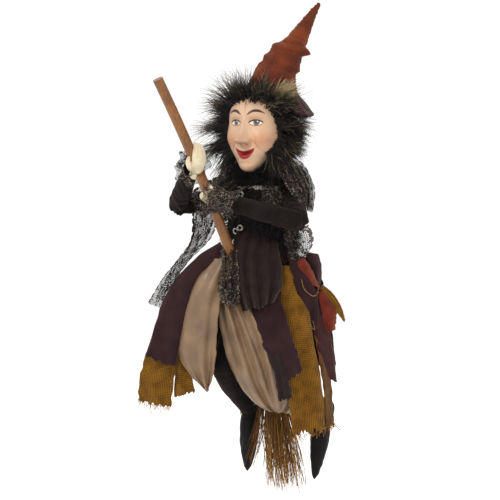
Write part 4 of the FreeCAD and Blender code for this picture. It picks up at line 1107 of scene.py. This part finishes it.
for side, seed in (("right", 31), ("left", 37)):
    hip, knee, ankle, toe = (np.array(spot[side], float) for spot in (HIP, KNEE, ANKLE, TOE))
    cap = knee + (turned((-3, 0, -6)) if side == "right" else 0)
    line = [(*hip, 15, 15), (*mixed(hip, cap, 0.5), 15.5, 15.5), (*mixed(hip, cap, 0.84), 14.6, 14.6),
            (*(mixed(cap, hip, 0.04) + (0, 1, 1)), 14.8, 14.8), (*mixed(cap, ankle, 0.22), 12.6, 12.6),
            (*mixed(cap, ankle, 0.6), 11.0, 11.2), (*mixed(cap, ankle, 0.98), 9.2, 9.4)]
    stocking = tube(side + "_stocking", 56, 110, line, JERSEY, facing=(1, 0, 0),
                    shape=lambda spot, s, t, seed=seed: 0.8 * waves(spot, 15, seed) - 0.9 * bell(t, 0.52, 0.08)
                    * np.abs(np.sin(50 * t)))
    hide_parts(side + "_thigh_padding", side + "_shin_padding")
    upper = unit(knee - hip)
    at(knee - upper * 10)
    at(knee + upper * 10)
    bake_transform(stocking)

    down = unit(toe - ankle)
    heel = np.cross(down, (1.0, 0, 0))
    heel = unit(heel) * (1 if heel[1] > 0 else -1)
    foot = [(*(ankle - down * 10 + heel * 1), 8.6, 9.4), (*(ankle - down * 2 + heel * 2), 10.4, 12.2),
            (*mixed(ankle, toe, 0.22), 11.2, 12.6), (*mixed(ankle, toe, 0.48), 11.4, 10.6),
            (*mixed(ankle, toe, 0.74), 8.6, 7.4), (*mixed(ankle, toe, 0.93), 5.0, 4.6), (*toe, 2.4, 2.4),
            (*(toe + down * 3.0), 0.6, 0.6)]
    boot = tube(side + "_boot_upper", 64, 120, foot, BOOT, facing=tuple(-heel),
                shape=lambda spot, s, t, seed=seed: 0.45 * waves(spot, 12, seed + 1)
                + 3.4 * bell(t, 0.17, 0.09) * bell(np.abs(s - 0.5), 0, 0.16))
    finish_piece(boot, "boot_leather", side + "_shin", side + "_boot")
    studs = []
    for spot in map(turned, STUDS[side]):
        studs.append(tube("stud", 16, 12, [(*(spot - (0, 2.2, 0)), 0.4, 0.4), (*(spot - (0, 1.4, 0)), 1.8, 1.8),
                                           (*spot, 2.4, 2.4), (*(spot + (0, 1.6, 0)), 1.6, 1.6)], BEADING,
                          facing=(0, 0, 1)))
    button = fused(side + "_boot_buttons", studs, BEADING, 0.3, 2)
    finish_piece(button, "silver_metal", side + "_shin")


# ---- skirts -------------------------------------------------------------------------------
HIP_TOP, HIP_FREE = -112, -160


def skirt(piece, kind, side, *nodes):
    """Cloth sewn on at the waist, with its CAD nodes hidden and its place baked into the mesh; the thigh, side, is
    not used.
    """
    if nodes:
        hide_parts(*nodes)
    at((0, 0, HIP_TOP))
    at((0, 0, HIP_FREE))
    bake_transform(piece)
    return piece


yoke = surface("skirt_yoke_cloth", 150, 40,
               oval_place(((-128, 49), (-108, 48), (-90, 43)), ((-128, 36), (-108, 34), (-90, 34)), -128, -88, 1.6,
                          9), CHIFFON, (270, 44), closed=True)
finish_piece(yoke, "black_lace", "torso", "skirt_yoke")


def weave_ends(name, row, down, long, count, seed, side):
    """Loose threads along a torn edge given by (u, w, z) rows."""
    draw = np.random.default_rng(seed)
    paths, radii, shades = [], [], []
    steps = np.linspace(0, 1, 5)[:, None]
    for share in np.linspace(0, 1, count):
        base = spline(row, np.array([share]))[0] + draw.normal(0, 0.5, 3)
        way = unit(np.asarray(down, float) + draw.normal(0, 0.22, 3))
        reach = draw.uniform(*long)
        bend = draw.normal(0, 0.25, 3)
        paths.append(turned(combed(base, way, reach, bend, steps)))
        radii.append(draw.uniform(0.25, 0.5))
        shades.append(draw.uniform(0.3, 1.0))
    skirt(strands(name, paths, radii, shades, THREAD, taper=0.6), "hessian", side)


weave_ends("hessian_fringe_right", [(-148, 14, -269), (-129, 19, -274), (-109, 20, -276)],
           (-0.05, 0.1, -1), (3, 9), 34, 4, "right")
loose_thread = strands("hessian_loose_thread", [turned(spline([(-132, 19, -272), (-134, 20, -280), (-132, 20, -285),
                                                               (-137, 20, -291)], np.linspace(0, 1, 14)))],
                       [0.4], [0.8], THREAD, taper=0.7)
skirt(loose_thread, "hessian", "right")


def puffed(spot, s, down):
    """Blouses the cloth: gathered at the waist, full at mid height and drawn under at the foot."""
    full = np.sin(pi * np.clip(down, 0, 1)) ** 0.7
    spot[:, 1] += 26 * full * np.sin(pi * s) ** 0.6
    ray = (s - 0.5) * (1 + 0.2 * down)
    gathers = np.sin(tau * 5.5 * ray + 0.8 + 1.5 * down) * (1 - 0.7 * down) + np.sin(tau * 2.2 * ray + 2) * down
    spot[:, 1] += 4.6 * gathers - 3.6 * bell(s, 0.34 + 0.1 * down, 0.035) * np.clip(1.3 - down, 0, 1)
    return spot


# name, slot, the side of its thigh or the body it rides on, CAD nodes, cloth, left edge, right edge, columns,
# rows and how it hangs
PANELS = (
    ("shoulder_net_left", "dark_net", "torso", (), NET,
     [(22, 36, 8), (28, 46, -6), (36, 52, -20), (42, 54, -34)],
     [(46, 8, 12), (53, 18, 0), (57, 24, -16), (57, 30, -38)],
     30, 40, dict(bulge=5, folds=2, depth=1.2, seed=19, solid=0.6, ragged=1.2)),
    ("shoulder_net_right", "dark_net", "right_arm", (), NET,
     [(-34, 0, 4), (-52, -5, -4), (-68, -8, -14)],
     [(-30, 18, -14), (-44, 8, -28), (-56, 0, -40)],
     24, 40, dict(bulge=3, folds=2, depth=1.2, seed=23, solid=0.6, ragged=1.2)),
    ("felt_strip_right", "aubergine_felt", "right", ("felt_panel_right",), FELT,
     [(-50, 10, -80), (-76, 11, -97), (-100, 13, -121), (-118, 15, -150), (-126, 17, -175), (-139, 19, -215)],
     [(-40, 30, -95), (-60, 33, -105), (-76, 34, -118), (-86, 35, -141), (-96, 35, -185), (-104, 34, -226)],
     46, 80, dict(bulge=7, folds=1.0, depth=2.5, seed=3, solid=1.4)),
    ("hessian_strip_right", "hessian", "right", ("hessian_panel_right",), HESSIAN,
     [(-122, 9, -165), (-132, 10, -195), (-141, 12, -220), (-147, 13, -245), (-148, 14, -270)],
     [(-92, 20, -165), (-98, 20, -195), (-103, 20, -225), (-106, 20, -250), (-109, 20, -277)],
     46, 90, dict(bulge=4, folds=1.5, depth=2.0, seed=12, solid=0.9)),
    ("hessian_inner_right", "hessian", "right", (), HESSIAN,
     [(-110, 12, -170), (-106, 12, -200), (-104, 12, -228), (-105, 12, -266)],
     [(-84, 22, -170), (-86, 22, -200), (-85, 22, -228), (-80, 22, -258)],
     34, 70, dict(bulge=3, folds=1, depth=2.0, seed=14, solid=0.9)),
    ("satin_petal_right", "taupe_satin", "right", ("satin_panel_right",), TAUPE,
     [(-60, 22, -98), (-82, 26, -124), (-92, 28, -150), (-101, 30, -195), (-99, 31, -214), (-84, 36, -238),
      (-66, 40, -254)],
     [(-34, 34, -98), (-44, 44, -130), (-51, 48, -156), (-54, 48, -190), (-55, 48, -212), (-58, 46, -234),
      (-64, 42, -254)],
     60, 110, dict(bulge=13, folds=2.3, depth=4.2, seed=21, solid=0.8, ragged=0.2)),
    ("satin_bubble_left", "taupe_satin", "left", ("bloomer_left",), TAUPE,
     [(-52, 30, -142), (-51, 32, -168), (-45, 32, -200), (-38, 30, -226), (-26, 28, -250), (-8, 26, -271),
      (8, 22, -281)],
     [(4, 44, -135), (26, 44, -165), (40, 42, -195), (50, 36, -220), (54, 32, -245), (50, 26, -268),
      (34, 22, -284)],
     90, 120, dict(bulge=4, folds=1, depth=1.0, seed=31, solid=0.8, ragged=0.3, own=puffed)),
    ("satin_bubble_turn", "taupe_satin", "left", (), TAUPE,
     [(8, 22, -281), (-8, 26, -271), (-26, 28, -250)],
     [(34, 18, -276), (14, 14, -268), (-8, 14, -250)],
     40, 24, dict(bulge=1, folds=1, depth=0.6, seed=33, solid=0.8, ragged=0.0)),
    ("black_ribbon", "black_lace", "left", (), CHIFFON,
     [(-6, 58, -186), (4, 72, -205), (14, 76, -232), (19, 74, -262)],
     [(10, 62, -180), (20, 76, -200), (29, 80, -228), (35, 78, -258)],
     24, 70, dict(bulge=2, folds=1.5, depth=1.4, seed=41, solid=0.8)),
    ("felt_strip_left", "aubergine_felt", "left", ("felt_panel_left",), FELT,
     [(-20, 50, -142), (-10, 62, -168), (1, 72, -190), (13, 76, -215), (25, 76, -241)],
     [(19, 46, -136), (26, 58, -160), (33, 68, -184), (40, 70, -205), (47, 68, -227)],
     40, 80, dict(bulge=5, folds=1, depth=1.6, seed=43, solid=1.4)),
    ("hessian_strip_left", "hessian", "left", ("hessian_panel_left",), HESSIAN,
     [(24, 38, -106), (22, 45, -140), (25, 50, -190), (29, 54, -241), (34, 52, -283), (37, 50, -308)],
     [(45, 34, -106), (52, 34, -140), (60, 40, -190), (68, 44, -235), (73, 44, -270), (75, 42, -298)],
     50, 110, dict(bulge=6, folds=1.5, depth=2.2, seed=51, solid=0.9, ragged=4.0)),
    # the fold is cut from the darker hessian, as painted shade
    ("hessian_fold_left", "hessian", "left", (), HESSIAN_PAINTED_SHADE,
     [(52, 26, -138), (64, 34, -200), (72, 38, -250), (76, 36, -297)],
     [(66, 10, -138), (76, 20, -200), (82, 24, -250), (86, 22, -296)],
     30, 90, dict(bulge=3, folds=1, depth=1.5, seed=53, solid=0.9, ragged=4.0)),
    ("rust_flap", "rust_cloth", "torso", (), RUST,
     [(37, 38, -96), (43, 40, -110), (50, 40, -124)],
     [(50, 32, -98), (60, 32, -114), (68, 30, -133)],
     24, 40, dict(bulge=5, folds=1, depth=1.4, seed=61, ragged=0.3)),
    ("black_flap", "aubergine_felt", "torso", (), FELT,
     [(50, 26, -90), (56, 28, -108), (62, 27, -131)],
     [(67, 12, -94), (71, 14, -110), (70, 14, -138)],
     24, 40, dict(bulge=6, folds=1, depth=1.6, seed=63, ragged=0.3)),
    ("dark_fold", "aubergine_felt", "left", (), FELT,
     [(30, 40, -92), (36, 44, -118), (44, 42, -150), (54, 34, -190), (60, 30, -222)],
     [(44, 38, -94), (58, 38, -124), (66, 32, -148), (66, 28, -190), (68, 26, -226)],
     30, 70, dict(bulge=2, folds=1.4, depth=2.0, seed=64, solid=1.2)),
    ("maroon_strip", "rust_cloth", "left", ("rust_panel_left",), MAROON,
     [(56, 30, -148), (60, 32, -180), (66, 32, -208), (73, 30, -237)],
     [(71, 14, -146), (78, 16, -178), (84, 16, -208), (89, 16, -247)],
     34, 80, dict(bulge=5, folds=1, depth=1.6, seed=65, solid=1.0, ragged=0.4)),
    ("maroon_strip_edge", "rust_cloth", "left", (), HESSIAN,
     [(69, 17, -150), (76, 19, -180), (82, 19, -210), (86, 18, -246)],
     [(71.5, 14, -148), (78.5, 16, -178), (84.5, 16, -208), (89.5, 16, -247)],
     8, 60, dict(bulge=1, folds=0.5, depth=0.2, seed=65, solid=0.8)),
    ("rust_leaf", "rust_cloth", "left", (), RUST,
     [(66, 26, -138), (70, 27, -160), (76, 24, -188)],
     [(74, 18, -136), (88, 18, -160), (87, 18, -184)],
     26, 60, dict(bulge=4, folds=1, depth=1.6, seed=67, ragged=0.6)),
    ("gold_leaf", "rust_cloth", "left", (), HESSIAN,
     [(68, 22, -134), (80, 21, -152), (98, 17, -175)],
     [(72, 18, -130), (90, 17, -148), (99, 16, -173)],
     16, 30, dict(bulge=2, folds=0.5, depth=0.5, seed=69, solid=0.8, ragged=0.2)),
    ("chiffon_apron", "black_lace", "torso", ("apron",), CHIFFON,
     [(-30, 22, -66), (-36, 44, -90), (-33, 58, -126), (-22, 66, -158)],
     [(14, 24, -66), (20, 42, -90), (24, 54, -124), (14, 64, -148)],
     70, 90, dict(bulge=9, folds=4.2, depth=4.2, seed=71, solid=0.6, ragged=2.0)),
)
for name, kind, place, nodes, material, left, right, columns, rows, hang in PANELS:
    piece = strip(name, left, right, material, columns, rows, **hang)
    (skirt if place in ("right", "left") else finish_piece)(piece, kind, place, *nodes)


weave_ends("hessian_fringe_left", [(37, 50, -306), (56, 50, -303), (75, 42, -297), (86, 24, -295)],
           (0.05, 0.1, -1), (3, 11), 46, 6, "left")
long_strand = strands("hessian_long_strand", [turned(spline([(80, 34, -280), (84, 34, -292), (90, 34, -300),
                                                            (93, 34, -303)], np.linspace(0, 1, 10)))], [0.6], [0.6],
                      THREAD, taper=0.6)
skirt(long_strand, "hessian", "left")

cords = []
for row in ([(46, 44, -122), (50, 44, -134), (60, 40, -142), (66, 34, -138), (66, 30, -128)],
            [(50, 42, -160), (56, 40, -176), (62, 36, -182), (60, 34, -172)]):
    cords.append(turned(spline(row, np.linspace(0, 1, 26))))
gold_cord = strands("golden_cord", cords, [0.6] * 2, [0.7, 0.5], CORD, taper=0.9, rings=1)
skirt(gold_cord, "rust_cloth", "left")

# the panels at her back, from the hips down
back_specs = (("back_felt_left", FELT, "aubergine_felt", "left",
               [(40, -20, -98), (58, -26, -150), (66, -30, -225)], [(62, 12, -100), (78, 14, -150), (88, 14, -228)]),
              ("back_rust", RUST, "rust_cloth", "left",
               [(8, -38, -98), (14, -48, -150), (18, -52, -215)], [(44, -24, -98), (56, -30, -150), (64, -34, -220)]),
              ("back_felt_right", FELT, "aubergine_felt", "right",
               [(-34, -38, -98), (-52, -46, -150), (-60, -50, -230)], [(10, -40, -98), (10, -50, -150),
                                                                      (8, -54, -226)]),
              ("back_side_right", MAROON, "aubergine_felt", "right",
               [(-54, 8, -96), (-80, 6, -150), (-96, 4, -218)],
               [(-36, -34, -98), (-56, -40, -150), (-68, -44, -224)]))
for index, (name, material, kind, side, left, right) in enumerate(back_specs):
    panel = strip(name, left, right, material, 36, 70, bulge=-5, folds=1.5, depth=2.4, seed=80 + index, solid=1.2)
    skirt(panel, kind, side, *(("back_panels",) if index == 0 else ()))


# ---- rosette ------------------------------------------------------------------------------
def rosette_place(middle, reach, turns, seed):
    def place(s, t):
        angle = tau * turns * s
        out = 2 + reach * (0.35 + 0.65 * t) * (0.6 + 0.4 * s)
        ripple = 1.8 * np.sin(7 * angle + seed) * t
        u = middle[0] + out * np.cos(angle)
        z = middle[2] + out * np.sin(angle)
        w = middle[1] + 7 - 6 * t + ripple - 5 * s
        return turned(np.c_[u, w, z])
    return place


rosette = lace_piece("lace_rosette", rosette_place((-36, 62, -141), 11, 3, 4), (170, 14), 6, edges=(False, False),
                     cell=0.6)
finish_piece(rosette, "black_lace", "torso")


# ---- stage --------------------------------------------------------------------------------
FLOOR_SIDE, FLOOR_LEVEL = 30, -0.42
bpy.ops.mesh.primitive_plane_add(size=FLOOR_SIDE, location=(0, 0, FLOOR_LEVEL))
floor = bpy.context.object
floor.name = "floor"
paper = Finish("paper_floor", 0.9, Specular_IOR_Level=0.1)
paper.set("Base Color", (1.0, 1.0, 1.0, 1.0))
floor.data.materials.append(paper.material)

world = bpy.data.worlds.new("pale_room")
bpy.context.scene.world = world
world.use_nodes = True
sky = next(n for n in world.node_tree.nodes if n.type == "BACKGROUND")
sky.inputs["Color"].default_value = (1.0, 1.0, 1.0, 1.0)
sky.inputs["Strength"].default_value = 1.03


# name, place, what it points at, watts, side of the lamp in metres and its colour
LAMPS = (("key_light", (-0.35, -1.35, 0.95), (0, -0.05, -0.05), 9, 0.3, "#fff4e4"),
         ("side_light", (1.3, -0.7, 0.4), (0, -0.05, -0.1), 3, 0.5, "#fff0e0"),
         ("rim_light", (-0.7, 1.1, 0.9), (0, -0.05, -0.05), 6, 0.6, "#ffffff"))
for name, place, aim, power, size, colour in LAMPS:
    light = bpy.data.lights.new(name, "AREA")
    light.energy, light.size, light.color = power, size, tone(colour)[:3]
    lamp = bpy.data.objects.new(name, light)
    bpy.context.scene.collection.objects.link(lamp)
    lamp.location = place
    lamp.rotation_euler = (Vector(aim) - Vector(place)).to_track_quat("-Z", "Y").to_euler()

bpy.context.scene.view_settings.view_transform = "Standard"

target = Vector((-0.0125, -0.0572, -0.074))
azimuth, elevation, distance = radians(30), radians(3.5), 2.4
camera = bpy.data.objects.new("camera", bpy.data.cameras.new("camera"))
bpy.context.scene.collection.objects.link(camera)
back = Vector((sin(azimuth) * cos(elevation), -cos(azimuth) * cos(elevation), sin(elevation)))
camera.location = target + back * distance
camera.rotation_euler = (-back).to_track_quat("-Z", "Y").to_euler()
SENSOR, LENS = 36, 144
camera.data.sensor_width, camera.data.lens = SENSOR, LENS
bpy.context.scene.camera = camera
